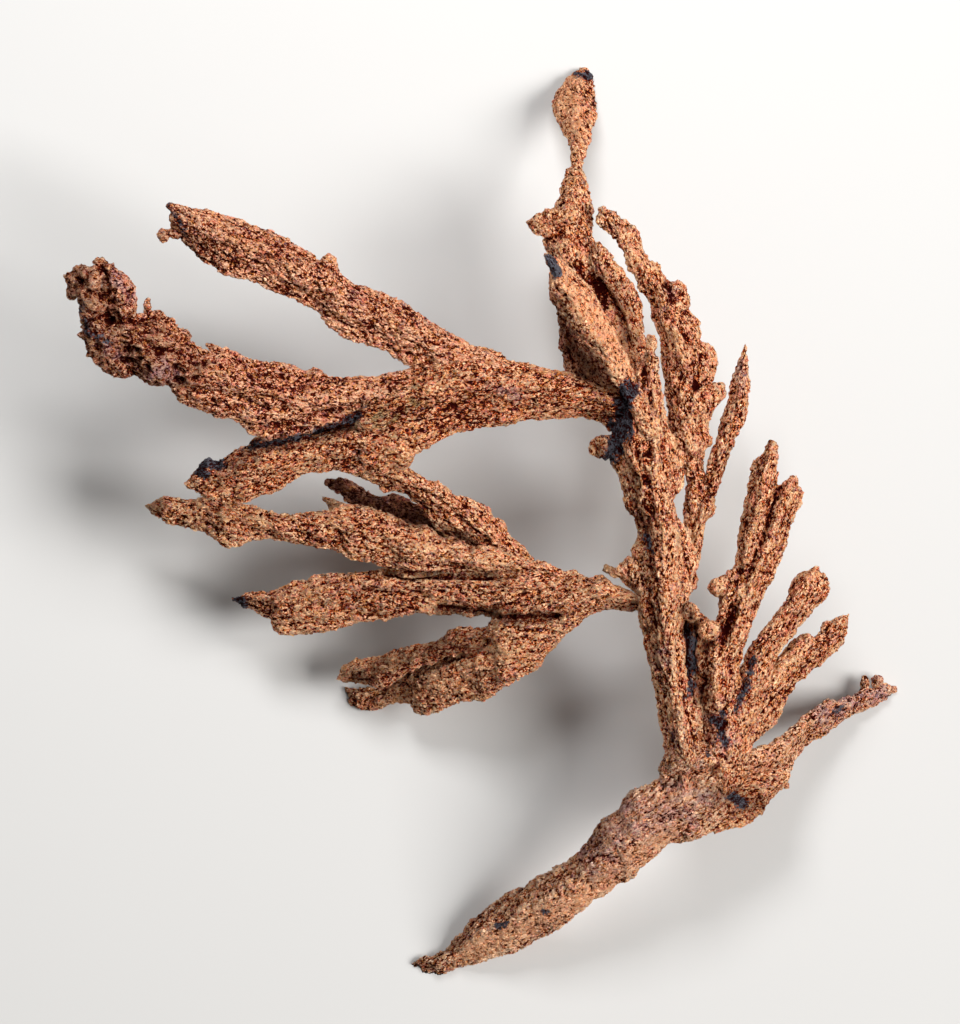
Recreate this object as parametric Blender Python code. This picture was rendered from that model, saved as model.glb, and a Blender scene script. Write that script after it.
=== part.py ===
"""Native copper specimen, modelled as one branching growth of flattened crystal blades.

Run with: blender --background --python part.py

The specimen is a tree of lozenge-section blades. It is split at its main forks, and
each branch is one closed solid. Every blade is a loft between two plan edges, so its
outline, ridge, keel and height are set separately. Units are metres in Blender and
millimetres in the tables below. +Z is up, and the specimen lies on z = 0.
"""

import math

import bmesh
import bpy
import numpy as np
from mathutils import Matrix

MM = 0.001
SPECIMEN = "native_copper_specimen"

# ------------------------------------------------------------- driving sizes
SHEET_CENTRE = (48.1, 52.15)   # the specimen's middle on the drawing sheet, mm
STATION_PITCH = 1.7            # distance between the cross sections of a blade, mm
KERF = 0.3                     # gap left between neighbouring branches, mm
EDGE_CHIP = 0.10               # how far an edge point strays from its line, mm
LUMP_SHARE = 0.22              # how far ridges and grooves stray, share of height
GROUND_DEPTH = 6.0             # depth of the block that trims the low tips flat, mm
GROUND_SIDE = 200.0            # length and width of that block, mm
LARGE_LUMP = 1.2               # a lump at least this wide is made with finer facets, mm

# One cross section, from the upper edge over the ridge to the lower edge and back
# along the keel. Each row is a share of the way across and a height. The share on
# the top side is measured from the upper edge to the ridge (under 1) and from the
# ridge to the lower edge (over 1).
TOP_PROFILE = ((0.44, 0.64), (1.0, 1.0), (1.46, 0.60))
KEEL_PROFILE = ((0.48, -1.0),)

# ------------------------------------------------------------------ outlines
# Plan points in millimetres on a drawing sheet: x to the right, y down from the
# sheet's top left corner. A blade has two edges, each read from its root to its
# tip: "upper" is the edge on its upper or left side in plan, "lower" the other.
# z is the height of the edges at even steps from root to tip, crest says where
# the ridge lies between the edges (0 upper, 1 lower), top and under are the
# ridge's and the keel's share of the width, and roll is how much higher the upper
# edge lies than the lower one. A share given as several values changes lengthwise.
BLADES = {
    "trunk": dict(
        upper=((67.2, 80.0), (66.3, 77.0), (66.6, 75.5), (66.1, 73.1), (65.6, 70.3), (65.1, 66.7),
               (64.0, 63.1), (63.4, 60.0), (63.2, 57.5), (63.3, 55.0), (63.7, 53.7), (63.4, 51.8),
               (62.5, 50.8), (62.1, 49.5), (61.7, 47.8), (61.0, 46.0), (60.6, 44.4), (61.2, 42.4),
               (61.6, 40.0), (62.2, 38.5), (63.0, 37.2), (64.0, 35.8), (64.7, 34.2)),
        lower=((71.2, 80.0), (70.4, 76.0), (70.0, 72.0), (69.6, 68.0), (69.3, 65.0), (69.4, 62.4),
               (68.8, 60.0), (69.2, 58.0), (69.7, 56.0), (69.0, 53.5), (67.6, 51.3),
               (67.3, 50.0), (68.0, 49.2), (68.5, 48.0), (68.3, 45.8), (67.2, 44.0), (66.5, 42.0),
               (66.3, 40.0), (66.0, 38.5), (65.8, 37.0), (65.5, 35.5), (65.0, 34.0)),
        z=(11.5, 12.6, 13.8, 15.0, 16.2, 17.0, 17.6), crest=0.34, top=0.42, under=0.36, roll=0.0),
    "trunk_rib": dict(
        upper=((67.6, 76.0), (66.6, 70.0), (65.6, 64.0), (64.8, 58.0), (65.0, 52.0), (63.9, 48.0),
               (63.6, 44.5), (64.4, 41.0), (64.2, 37.5), (64.6, 34.4)),
        lower=((70.2, 76.0), (69.0, 70.0), (68.0, 64.0), (67.4, 58.0), (67.6, 52.5), (66.6, 48.0),
               (66.2, 44.5), (66.2, 41.0), (65.8, 37.0), (65.2, 34.4)),
        z=(13.6, 15.0, 16.6, 17.6, 18.2, 18.6), crest=0.45, top=0.32, under=0.3, roll=0.0),
    "trunk_spur": dict(
        upper=((65.5, 55.4), (63.2, 55.6), (62.4, 55.9), (61.9, 56.3), (61.4, 56.7), (60.6, 56.6)),
        lower=((65.5, 59.4), (63.2, 59.0), (62.5, 58.4), (61.8, 57.8), (61.2, 57.4), (60.6, 57.1)),
        z=(14.6, 14.6, 15.0), crest=0.4, top=0.5, under=0.4, roll=0.0),
    "base_spike": dict(
        upper=((69.5, 76.2), (66.8, 77.4), (65.5, 78.3), (64.2, 78.8), (63.4, 78.6), (62.8, 79.2),
               (62.2, 80.0), (61.9, 81.2), (60.4, 81.8), (59.7, 82.6), (58.9, 83.8), (57.7, 85.0),
               (57.0, 85.8), (54.5, 87.3), (52.1, 88.8), (49.7, 90.2), (47.3, 91.9), (45.6, 93.9),
               (44.4, 95.2), (43.0, 95.7), (42.4, 95.5), (41.7, 96.0), (41.4, 96.4)),
        lower=((71.5, 82.5), (69.0, 84.0), (67.8, 84.1), (66.8, 84.6), (65.7, 85.4), (65.0, 86.2),
               (64.0, 86.9), (63.4, 87.8), (62.0, 88.4), (61.3, 88.8), (60.8, 89.5), (59.2, 90.0),
               (57.9, 91.4), (55.7, 93.1), (54.5, 93.8), (53.3, 94.5), (51.5, 95.4), (50.0, 95.7),
               (48.5, 96.3), (46.3, 96.8), (44.8, 97.3), (43.5, 97.7), (42.3, 97.5), (41.6, 96.9)),
        z=(11.0, 10.6, 9.4, 7.4, 5.0, 2.6, 0.7, 0.1), crest=0.42, top=0.36, under=0.3, roll=1.0),
    "base_lump": dict(
        upper=((69.5, 77.8), (67.6, 78.4), (66.0, 78.3), (65.7, 76.8), (66.4, 75.4), (67.6, 74.9)),
        lower=((71.5, 74.5), (70.8, 74.2), (70.0, 74.0), (69.2, 74.0), (68.6, 74.2), (68.0, 74.6)),
        z=(12.4, 12.6, 12.4), crest=0.5, top=0.34, under=0.34, roll=0.0),
    "base_ledge": dict(
        upper=((66.5, 79.5), (70.0, 79.0), (72.0, 78.6), (74.0, 78.0), (76.0, 77.4), (77.6, 77.0),
               (78.9, 77.3), (78.5, 78.3)),
        lower=((66.8, 84.4), (68.8, 84.2), (69.7, 83.9), (70.5, 83.3), (72.5, 83.0), (74.2, 82.7),
               (75.2, 82.1), (75.7, 81.5), (76.6, 80.9), (76.6, 80.2), (77.6, 79.3), (78.3, 78.6)),
        z=(10.4, 9.9, 9.0, 8.2), crest=0.3, top=0.34, under=0.34, roll=1.6),
    "low_branch": dict(
        upper=((70.0, 76.5), (71.6, 76.0), (73.5, 76.0), (74.7, 75.3), (76.5, 74.6), (78.3, 73.3),
               (80.1, 71.9), (81.1, 71.2), (81.9, 70.8), (82.4, 70.0), (83.0, 69.9), (83.8, 70.3),
               (84.6, 69.7), (85.8, 69.2), (86.4, 68.8), (87.4, 68.9), (88.5, 68.3), (89.3, 68.9)),
        lower=((69.5, 80.0), (73.5, 78.6), (75.5, 77.9), (77.5, 77.3), (79.0, 77.4), (79.3, 76.3),
               (79.7, 75.7), (80.1, 75.1), (81.7, 74.0), (83.3, 72.9), (85.4, 71.5), (87.7, 70.6),
               (88.8, 69.9), (89.4, 69.3)),
        z=(11.4, 10.8, 9.0, 6.6, 4.0, 1.5, 0.1), crest=0.35, top=0.4, under=0.34, roll=0.8),
    "fan_tall_left": dict(
        upper=((70.6, 77.5), (70.5, 73.0), (70.3, 69.0), (70.1, 65.6), (70.6, 64.0), (71.3, 62.5),
               (71.7, 60.6), (72.2, 59.0), (72.8, 57.2), (73.5, 56.6), (73.7, 54.5), (73.9, 53.0),
               (74.2, 51.0), (74.7, 49.0), (75.0, 47.0), (75.2, 46.2), (75.8, 45.7), (76.2, 45.1),
               (76.7, 44.2)),
        lower=((74.4, 77.5), (73.9, 72.0), (73.0, 67.0), (73.3, 63.0), (74.2, 60.5), (75.1, 58.0),
               (75.9, 55.5), (76.8, 53.5), (77.3, 51.5), (77.6, 49.7), (77.7, 48.2), (77.6, 47.0),
               (77.4, 45.2)),
        z=(11.8, 12.8, 13.8, 14.8, 15.6, 16.0, 16.4), crest=0.45, top=0.42, under=0.42, roll=0.0),
    "fan_tall_right": dict(
        upper=((71.2, 75.0), (71.4, 70.0), (71.6, 66.0), (72.3, 62.8), (73.2, 60.3), (74.1, 57.6),
               (74.9, 55.3), (75.8, 53.0), (76.5, 51.0), (77.2, 49.2), (77.9, 48.3), (78.6, 47.9)),
        lower=((75.0, 75.0), (74.6, 70.5), (73.7, 66.8), (74.5, 64.5), (75.2, 62.5), (76.0, 60.0),
               (76.8, 58.5), (77.5, 57.0), (78.2, 55.0), (78.8, 53.0), (79.5, 51.5), (80.0, 50.4),
               (80.2, 49.2), (79.6, 48.3)),
        z=(12.2, 13.4, 14.4, 15.2, 15.6, 15.8), crest=0.38, top=0.42, under=0.4, roll=0.4),
    "fan_web": dict(
        upper=((69.6, 77.5), (69.0, 74.0), (68.6, 70.0), (68.3, 67.0), (68.2, 64.5), (68.5, 62.4)),
        lower=((73.4, 77.5), (73.0, 74.0), (72.6, 70.0), (72.2, 67.0), (71.8, 64.5), (71.0, 62.2)),
        z=(11.2, 11.8, 12.4, 12.8), crest=0.5, top=0.28, under=0.36, roll=0.0),
    "fan_middle": dict(
        upper=((72.0, 74.5), (72.8, 70.5), (73.8, 67.2), (74.7, 64.9), (75.6, 63.5), (77.2, 61.4),
               (77.9, 60.7), (78.6, 60.1), (78.9, 59.0), (79.4, 58.0), (80.3, 57.3), (81.1, 56.9)),
        lower=((74.6, 75.0), (75.6, 71.8), (76.4, 69.0), (77.2, 66.5), (79.0, 63.7), (80.1, 62.1),
               (81.3, 60.9), (82.0, 60.3), (82.7, 59.6), (82.8, 58.5), (82.5, 57.6), (81.9, 57.2)),
        z=(11.8, 12.4, 12.8, 12.8, 12.4, 12.0), crest=0.4, top=0.36, under=0.36, roll=0.6),
    "fan_outer": dict(
        upper=((73.0, 76.0), (74.2, 72.0), (75.5, 69.0), (76.8, 66.8), (78.0, 65.5), (78.8, 64.7),
               (79.7, 63.7), (80.8, 63.2), (81.1, 64.0), (82.0, 63.2), (82.2, 62.2), (83.5, 61.7),
               (84.6, 61.5)),
        lower=((74.0, 77.0), (75.4, 74.2), (76.9, 73.1), (78.1, 71.4), (78.8, 69.6), (79.7, 68.1),
               (81.1, 67.1), (82.9, 65.8), (83.8, 65.0), (84.2, 64.4), (84.5, 63.5), (84.8, 62.6),
               (84.8, 61.8)),
        z=(11.4, 11.4, 11.0, 10.4, 9.6, 8.8), crest=0.4, top=0.34, under=0.34, roll=0.8),
    "right_column": dict(
        upper=((67.6, 55.5), (68.2, 53.0), (68.3, 51.0), (68.4, 49.0), (68.5, 47.5), (67.8, 45.6),
               (66.8, 43.0), (66.5, 40.0),
               (66.3, 39.0), (66.1, 37.5), (66.0, 34.5), (65.8, 33.3), (65.5, 32.5), (65.0, 31.8),
               (64.9, 30.5), (64.5, 29.8), (63.8, 29.0), (63.6, 28.0), (62.9, 27.0), (62.5, 26.2),
               (62.3, 25.1), (61.8, 24.5), (61.3, 23.8), (60.6, 23.3), (60.0, 22.6), (59.6, 21.9),
               (59.8, 21.1)),
        lower=((69.8, 56.0), (70.3, 53.0), (70.9, 50.5), (70.8, 48.0), (70.1, 46.4), (70.3, 45.0),
               (71.1, 44.2), (70.8, 43.0),
               (70.7, 42.2), (71.6, 40.5), (72.4, 39.5), (72.5, 38.4), (71.8, 38.3), (70.9, 38.5),
               (71.4, 37.0), (71.5, 35.8), (71.2, 34.8), (70.7, 34.2), (69.9, 34.2), (70.0, 33.0),
               (69.8, 32.0), (69.3, 31.3), (68.9, 31.0), (69.2, 30.0), (69.0, 29.4), (68.7, 28.6),
               (68.0, 28.1), (67.3, 28.3), (66.6, 27.6), (65.9, 26.9), (65.9, 26.1), (65.2, 26.2),
               (64.8, 26.2), (64.2, 25.0), (63.8, 24.2), (63.9, 23.4), (63.4, 22.6), (62.4, 22.0),
               (61.4, 21.0), (60.6, 20.8)),
        z=(13.4, 14.0, 14.2, 13.8, 13.2, 12.6, 12.0), crest=0.45, top=0.34, under=0.32, roll=0.4),
    "needle": dict(
        upper=((68.4, 58.5), (69.2, 54.0), (69.6, 51.5), (70.0, 49.5), (70.4, 48.0), (70.8, 46.5),
               (71.1, 45.0), (71.6, 43.8), (71.7, 42.8), (72.1, 42.0), (72.2, 41.2), (72.5, 40.4),
               (72.8, 39.4), (72.9, 38.0), (73.2, 37.1), (73.6, 36.1), (74.0, 35.1), (74.3, 34.5)),
        lower=((69.6, 58.5), (69.8, 56.0), (69.9, 54.8), (70.3, 54.0), (70.3, 53.0), (70.8, 52.0),
               (71.3, 51.0), (71.4, 50.0), (71.8, 49.0), (72.0, 48.0), (72.4, 47.0), (72.8, 45.5),
               (73.1, 44.5), (73.7, 43.0), (74.2, 42.1), (74.5, 41.4), (74.7, 40.4), (74.7, 39.5),
               (74.9, 38.4), (74.9, 37.2), (74.8, 36.0), (74.6, 35.0)),
        z=(14.2, 14.4, 14.2, 13.6, 12.8, 12.0), crest=0.5, top=0.45, under=0.45, roll=0.0),
    "top_column": dict(
        upper=((62.0, 40.0), (60.6, 37.2), (59.2, 34.5), (57.8, 31.6), (56.6, 28.8), (55.6, 26.8),
               (54.9, 25.6), (54.5, 25.0), (54.3, 23.8), (54.6, 22.4), (54.9, 21.2), (55.5, 20.0),
               (56.1, 19.0), (56.3, 17.6), (56.4, 17.2)),
        lower=((64.6, 40.0), (63.4, 37.0), (62.2, 34.0), (61.2, 31.0), (60.2, 28.4), (59.4, 26.2),
               (59.5, 24.3), (59.1, 23.5), (59.3, 21.8), (59.3, 21.0), (59.1, 20.0), (58.9, 19.0),
               (58.6, 18.0), (58.4, 17.2)),
        z=(15.6, 15.2, 14.6, 13.6, 12.2, 10.4, 8.8), crest=0.45, top=0.38, under=0.36, roll=0.0),
    "column_flank": dict(
        upper=((64.2, 41.0), (63.0, 37.4), (62.0, 34.0), (60.8, 31.0), (59.8, 29.0), (59.2, 27.0),
               (59.2, 25.6), (59.6, 24.6)),
        lower=((65.8, 41.0), (64.9, 37.0), (64.3, 33.7), (64.2, 31.5), (64.0, 30.0), (63.7, 29.2),
               (63.1, 28.4), (62.6, 27.7), (62.0, 26.8), (61.3, 26.5), (61.0, 25.7), (60.5, 25.0),
               (60.0, 24.5)),
        z=(15.4, 15.4, 14.8, 14.0, 13.2), crest=0.42, top=0.36, under=0.36, roll=0.4),
    "column_knob": dict(
        upper=((56.8, 23.0), (55.4, 23.6), (54.2, 23.7), (53.3, 23.4), (52.8, 22.8), (52.8, 22.3)),
        lower=((56.8, 20.6), (55.4, 20.9), (54.5, 21.0), (53.7, 21.3), (53.2, 21.7), (52.9, 22.1)),
        z=(12.4, 12.4, 12.4), crest=0.5, top=0.4, under=0.4, roll=0.0),
    "spear": dict(
        upper=((56.0, 18.8), (56.4, 17.4), (57.0, 17.0), (57.1, 16.6), (57.1, 15.6), (57.0, 14.3),
               (56.6, 13.5), (56.0, 12.7), (55.4, 11.5), (55.2, 10.5), (55.5, 9.2), (56.2, 8.5),
               (56.6, 7.8), (57.0, 7.2), (57.8, 6.8)),
        lower=((58.6, 18.8), (58.4, 17.4), (58.2, 17.0), (58.2, 16.6), (58.4, 15.4), (58.7, 14.5),
               (59.1, 13.8), (59.2, 13.0), (59.6, 12.2), (59.7, 11.5), (59.8, 10.0), (59.5, 8.5),
               (59.2, 7.2), (58.8, 6.7)),
        z=(9.6, 8.0, 5.9, 3.4, 1.4, 0.2), crest=0.5, top=0.36, under=0.3, roll=0.0),
    "front_blade": dict(
        upper=((64.4, 43.6), (62.8, 40.5), (61.7, 38.5), (61.0, 37.5), (60.0, 36.2), (59.0, 35.0),
               (57.8, 33.5), (56.8, 32.5), (56.2, 31.5), (55.5, 30.0), (55.0, 28.0), (54.8, 27.0),
               (54.4, 26.2), (54.4, 25.8)),
        lower=((66.0, 42.0), (65.0, 40.6), (64.0, 39.0), (62.8, 36.5), (62.0, 34.5), (61.7, 34.0),
               (61.5, 33.0), (61.0, 32.2), (60.3, 31.2), (59.7, 30.0), (59.2, 29.1), (58.5, 28.4),
               (57.9, 28.1), (57.5, 28.0), (57.2, 27.2), (56.4, 26.3), (55.6, 25.9), (55.0, 25.6)),
        z=(18.4, 19.6, 20.8, 22.0, 23.0, 23.8), crest=0.4, top=0.3, under=0.42, roll=0.4),
    "side_blade": dict(
        upper=((60.5, 40.5), (58.5, 38.5), (56.6, 37.2), (56.2, 35.5), (55.8, 34.5), (55.9, 33.5),
               (55.7, 32.5), (55.8, 31.8), (55.4, 30.7), (55.1, 29.5), (54.9, 27.8)),
        lower=((63.5, 40.5), (62.0, 38.5), (60.4, 36.4), (59.0, 34.6), (58.0, 33.0), (57.2, 31.4),
               (56.4, 30.2), (55.8, 29.0), (55.3, 27.8)),
        z=(16.2, 16.0, 15.6, 15.4, 15.4), crest=0.55, top=0.4, under=0.4, roll=-1.2),
    "left_arm": dict(
        upper=((63.6, 38.6), (60.0, 38.3), (58.0, 37.8), (56.6, 37.4), (55.0, 37.0), (53.8, 36.6),
               (52.0, 36.1), (50.8, 35.9), (49.7, 35.2), (48.6, 34.7), (47.0, 34.4), (45.6, 34.6),
               (43.6, 35.4), (41.6, 36.4), (39.6, 37.2), (37.4, 37.8)),
        lower=((63.0, 44.2), (61.0, 43.3), (60.0, 42.4), (58.2, 41.9), (56.2, 41.8), (54.3, 41.8),
               (51.7, 42.0), (49.1, 42.6), (46.0, 43.1), (43.9, 44.0), (42.1, 45.1), (40.2, 45.5),
               (38.6, 46.0), (37.0, 46.4)),
        z=(16.4, 16.6, 16.8, 17.0, 17.0), crest=0.36,
        top=(0.40, 0.36, 0.28, 0.20, 0.17), under=(0.36, 0.32, 0.24, 0.18, 0.15), roll=0.6),
    "upper_left_blade": dict(
        upper=((50.0, 35.4), (47.2, 34.4), (45.8, 33.6), (44.4, 32.9), (43.0, 32.1), (41.8, 31.1),
               (40.4, 30.1), (39.5, 29.9), (38.5, 29.2), (37.0, 28.8), (35.6, 28.4), (34.6, 27.9),
               (33.9, 27.3), (33.6, 26.3), (33.3, 25.8), (32.6, 25.8), (32.0, 26.3), (31.0, 25.4),
               (30.0, 24.7), (29.1, 24.1), (28.0, 23.6), (26.6, 23.0), (25.4, 22.7), (24.1, 22.0),
               (22.8, 21.7), (21.4, 21.3), (20.5, 21.0), (19.5, 21.0), (18.4, 20.9), (17.8, 21.2)),
        lower=((48.0, 38.0), (45.4, 37.6), (43.0, 37.1), (41.0, 36.6), (39.3, 35.8), (38.7, 35.0),
               (37.5, 34.8), (36.0, 34.4), (34.8, 34.0), (34.0, 33.3), (33.0, 32.6), (31.8, 31.2),
               (30.8, 30.6), (29.9, 30.2), (28.5, 29.7), (27.0, 29.1), (25.8, 28.4), (24.9, 28.1),
               (23.5, 27.6), (22.2, 27.2), (20.9, 26.6), (19.9, 26.0), (19.3, 25.1), (18.8, 24.9),
               (18.4, 24.2), (18.0, 23.4)),
        z=(17.2, 17.8, 18.6, 19.4, 20.0, 20.4), crest=0.4, top=0.28, under=0.26, roll=0.6),
    "curl_blade": dict(
        upper=((43.0, 37.2), (41.0, 36.9), (40.0, 37.0), (38.7, 37.3), (37.0, 37.6), (35.4, 37.7),
               (34.1, 37.8), (33.0, 37.7), (31.7, 36.9), (30.4, 37.1), (29.1, 36.4), (27.5, 36.1),
               (26.0, 36.2), (25.0, 35.8), (24.1, 35.4), (22.8, 34.7), (22.2, 34.8), (21.5, 35.0),
               (20.7, 35.0), (20.3, 34.8), (19.2, 34.3), (18.4, 33.2), (17.8, 32.4), (17.4, 31.7),
               (16.6, 31.5), (16.1, 31.2), (15.0, 31.2), (14.2, 31.5), (13.4, 31.4)),
        lower=((43.0, 42.0), (40.0, 41.6), (36.5, 41.8), (34.5, 42.4), (33.2, 42.6), (30.0, 43.2),
               (28.2, 43.8), (26.2, 43.9), (25.5, 43.6), (24.7, 43.1), (24.1, 42.4), (23.3, 41.9),
               (21.7, 41.8), (20.8, 41.4), (19.8, 41.0), (19.0, 40.7), (18.4, 40.4), (17.8, 39.8),
               (17.6, 39.2), (16.8, 38.6), (16.0, 38.4), (14.6, 38.3), (14.2, 37.8), (13.8, 37.5),
               (12.5, 37.2), (11.5, 36.9), (10.3, 36.3), (9.3, 36.1)),
        z=(17.0, 17.4, 18.0, 18.8, 19.8, 21.0, 22.4), crest=0.4, top=0.28, under=0.26, roll=0.6),
    "curl_left": dict(
        upper=((10.6, 37.0), (9.3, 36.2), (9.1, 35.3), (8.8, 34.8), (8.2, 33.7), (8.8, 32.7),
               (8.2, 31.6), (8.6, 30.2), (8.2, 29.2), (8.0, 28.4), (7.9, 27.2)),
        lower=((13.4, 36.6), (12.4, 34.4), (11.6, 32.6), (11.2, 30.8), (11.0, 29.6), (10.3, 28.9),
               (10.1, 28.2), (10.3, 27.5), (11.0, 27.0), (10.6, 26.5), (9.4, 26.6), (8.6, 26.9)),
        z=(21.6, 22.6, 23.6, 24.2, 24.4), crest=0.5, top=0.44, under=0.4, roll=0.0),
    "curl_right": dict(
        upper=((12.6, 36.8), (11.6, 34.4), (11.0, 32.4), (10.6, 30.8), (10.5, 29.6), (10.7, 28.6),
               (10.6, 27.8), (10.1, 27.2), (10.0, 26.6)),
        lower=((17.6, 36.2), (15.6, 34.2), (14.4, 33.0), (13.7, 31.6), (13.9, 30.2), (13.7, 29.0),
               (13.1, 28.0), (12.4, 27.3), (11.6, 26.9), (11.0, 26.6)),
        z=(21.6, 22.6, 23.6, 24.2, 24.2), crest=0.55, top=0.44, under=0.4, roll=0.0),
    "curl_hook": dict(
        upper=((9.4, 26.6), (8.4, 26.8), (7.6, 27.0), (6.9, 27.5), (6.9, 28.5), (7.1, 29.4)),
        lower=((9.2, 28.8), (8.6, 28.5), (8.0, 28.4), (7.8, 28.8), (7.6, 29.2), (7.4, 29.5)),
        z=(24.0, 23.8, 23.4), crest=0.5, top=0.45, under=0.45, roll=0.0),
    "middle_left_blade": dict(
        upper=((40.6, 44.2), (39.0, 43.0), (37.0, 42.4), (34.5, 42.8), (32.0, 43.2), (30.0, 43.6),
               (28.2, 44.0), (25.9, 44.0), (25.2, 44.3), (24.4, 44.6), (23.3, 44.9), (22.6, 45.6),
               (21.5, 46.1), (20.6, 45.6), (20.1, 46.2), (19.5, 47.0), (19.0, 47.5), (18.8, 48.0)),
        lower=((39.4, 47.2), (38.6, 47.4), (37.6, 47.4), (36.0, 47.2), (33.6, 47.0), (32.0, 47.3),
               (30.5, 47.3), (29.4, 47.9), (28.7, 48.5), (27.9, 49.0), (26.3, 49.4), (25.2, 49.8),
               (24.4, 50.1), (23.0, 50.2), (21.7, 50.0), (20.7, 49.7), (19.9, 49.4), (19.4, 48.8)),
        z=(16.2, 16.0, 15.6, 15.2, 14.8), crest=0.3, top=0.3, under=0.28, roll=0.8),
    "cross_blade": dict(
        upper=((38.8, 44.6), (40.2, 45.7), (41.0, 46.8), (41.8, 47.5), (42.6, 48.2), (43.6, 48.4),
               (44.2, 48.7), (45.1, 49.4), (46.2, 49.7), (47.3, 49.9), (48.4, 50.4), (49.0, 51.0),
               (49.3, 51.6), (50.0, 51.8), (50.5, 52.4), (50.8, 53.4), (51.5, 54.1), (52.3, 54.7),
               (53.0, 55.5), (54.5, 56.8)),
        lower=((34.5, 47.0), (36.0, 47.6), (37.2, 48.2), (38.5, 49.0), (40.0, 49.2), (41.2, 49.9),
               (42.4, 51.0), (43.4, 52.4), (44.6, 53.8), (46.0, 54.8), (47.8, 55.6), (49.8, 56.6),
               (51.4, 57.6)),
        z=(15.4, 14.0, 12.4, 10.8, 9.6, 9.2), crest=0.35, top=0.3, under=0.28, roll=0.8),
    "under_blade": dict(
        upper=((45.0, 52.2), (42.6, 51.0), (40.6, 49.7), (39.0, 49.2), (38.0, 49.4), (37.2, 49.4),
               (36.1, 48.7), (34.8, 48.1), (33.8, 47.8), (32.7, 48.0)),
        lower=((45.0, 55.0), (42.0, 53.8), (40.0, 52.6), (38.0, 51.8), (36.4, 51.4), (35.0, 50.4),
               (34.2, 49.7), (33.4, 49.0), (32.8, 48.4)),
        z=(9.6, 8.6, 7.8, 7.2, 6.8), crest=0.4, top=0.3, under=0.3, roll=0.0),
    "under_point": dict(
        upper=((37.0, 51.2), (34.8, 50.4), (33.6, 49.9), (32.4, 49.7)),
        lower=((36.0, 52.6), (34.4, 51.8), (33.0, 51.2), (32.4, 50.2)),
        z=(10.8, 9.6, 8.8), crest=0.5, top=0.4, under=0.4, roll=0.0),
    "lower_arm": dict(
        upper=((64.4, 59.4), (63.2, 59.1), (62.2, 58.7), (61.2, 58.2), (60.3, 57.6), (59.8, 57.3),
               (59.0, 57.6), (58.0, 57.2), (57.3, 57.0), (56.2, 56.8), (55.1, 56.6), (54.2, 56.2),
               (53.2, 56.0), (52.0, 55.7), (50.8, 55.4)),
        lower=((64.4, 61.0), (63.0, 60.9), (61.7, 60.9), (60.6, 61.0), (59.5, 61.3), (58.4, 61.8),
               (57.8, 62.5), (56.6, 63.2), (55.8, 64.0), (55.0, 64.8), (54.5, 65.5), (54.0, 66.4),
               (53.4, 67.1), (52.5, 67.4), (51.6, 68.0), (50.6, 68.6)),
        z=(14.4, 13.6, 12.8, 11.9, 11.0), crest=0.45,
        top=(0.62, 0.50, 0.28, 0.16, 0.12), under=(0.60, 0.46, 0.24, 0.14, 0.11), roll=0.6),
    "finger_top": dict(
        upper=((56.0, 56.8), (54.5, 56.2), (53.2, 56.0), (51.8, 55.5), (50.5, 55.1), (48.7, 54.7),
               (46.7, 54.7), (45.9, 53.8), (43.9, 53.6), (43.0, 52.7), (41.6, 52.4), (40.3, 52.2),
               (39.5, 51.5), (38.0, 51.1), (36.5, 50.6), (34.5, 50.3), (33.5, 50.7), (32.2, 50.9),
               (30.5, 51.1), (28.7, 51.4), (27.3, 51.2), (26.0, 50.8), (25.0, 50.4), (24.1, 50.2),
               (23.0, 49.9), (21.9, 49.9), (20.0, 49.7), (18.5, 49.8), (17.2, 49.7), (16.1, 49.7),
               (15.4, 50.1), (14.7, 50.4)),
        lower=((56.0, 59.0), (53.0, 57.8), (51.0, 57.3), (48.7, 57.5), (46.5, 57.3), (45.1, 57.2),
               (43.0, 57.5), (40.7, 57.7), (39.5, 57.2), (38.5, 56.9), (37.8, 56.6), (37.0, 56.1),
               (35.8, 56.0), (34.8, 55.8), (34.0, 55.2), (33.3, 54.9), (31.5, 54.7), (30.0, 54.4),
               (28.7, 54.3), (27.7, 54.0), (26.7, 53.8), (25.5, 53.9), (24.5, 54.1), (23.5, 54.5),
               (22.6, 54.6), (21.9, 54.4), (21.5, 53.8), (20.9, 53.1), (20.4, 52.8), (18.5, 52.6),
               (16.7, 52.4), (16.0, 51.9), (15.5, 51.4), (15.0, 50.8)),
        z=(12.4, 12.4, 12.0, 11.4, 10.6, 9.8, 9.0), crest=0.35, top=0.28, under=0.26, roll=0.8),
    "finger_middle": dict(
        upper=((56.0, 57.4), (53.0, 57.0), (51.0, 56.8), (48.7, 57.0), (46.5, 56.9), (45.1, 56.9),
               (43.0, 57.0), (40.7, 57.2), (39.5, 57.0), (38.5, 56.9), (37.5, 57.1), (36.0, 57.2),
               (34.4, 57.3), (33.0, 57.3), (31.5, 57.5), (30.5, 57.9), (29.6, 58.0), (28.7, 58.5),
               (27.8, 58.8), (26.5, 59.1), (25.2, 59.1), (24.5, 59.2), (23.8, 59.3), (23.4, 59.7)),
        lower=((56.0, 62.0), (54.1, 61.6), (52.5, 61.5), (50.5, 61.6), (48.9, 61.6), (47.8, 61.5),
               (46.7, 61.7), (45.5, 61.4), (43.3, 61.2), (41.8, 61.2), (40.2, 61.4), (39.0, 61.8),
               (37.5, 62.0), (36.1, 62.1), (35.0, 62.3), (34.3, 62.6), (33.3, 63.0), (32.4, 63.2),
               (30.5, 63.4), (28.9, 63.4), (28.0, 63.3), (27.4, 62.9), (27.1, 62.0), (26.2, 61.5),
               (25.2, 60.9), (24.1, 60.9), (23.8, 60.3)),
        z=(11.8, 11.4, 10.6, 9.4, 8.2, 7.0, 6.2), crest=0.25, top=0.3, under=0.28, roll=1.0),
    "finger_bottom": dict(
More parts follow.
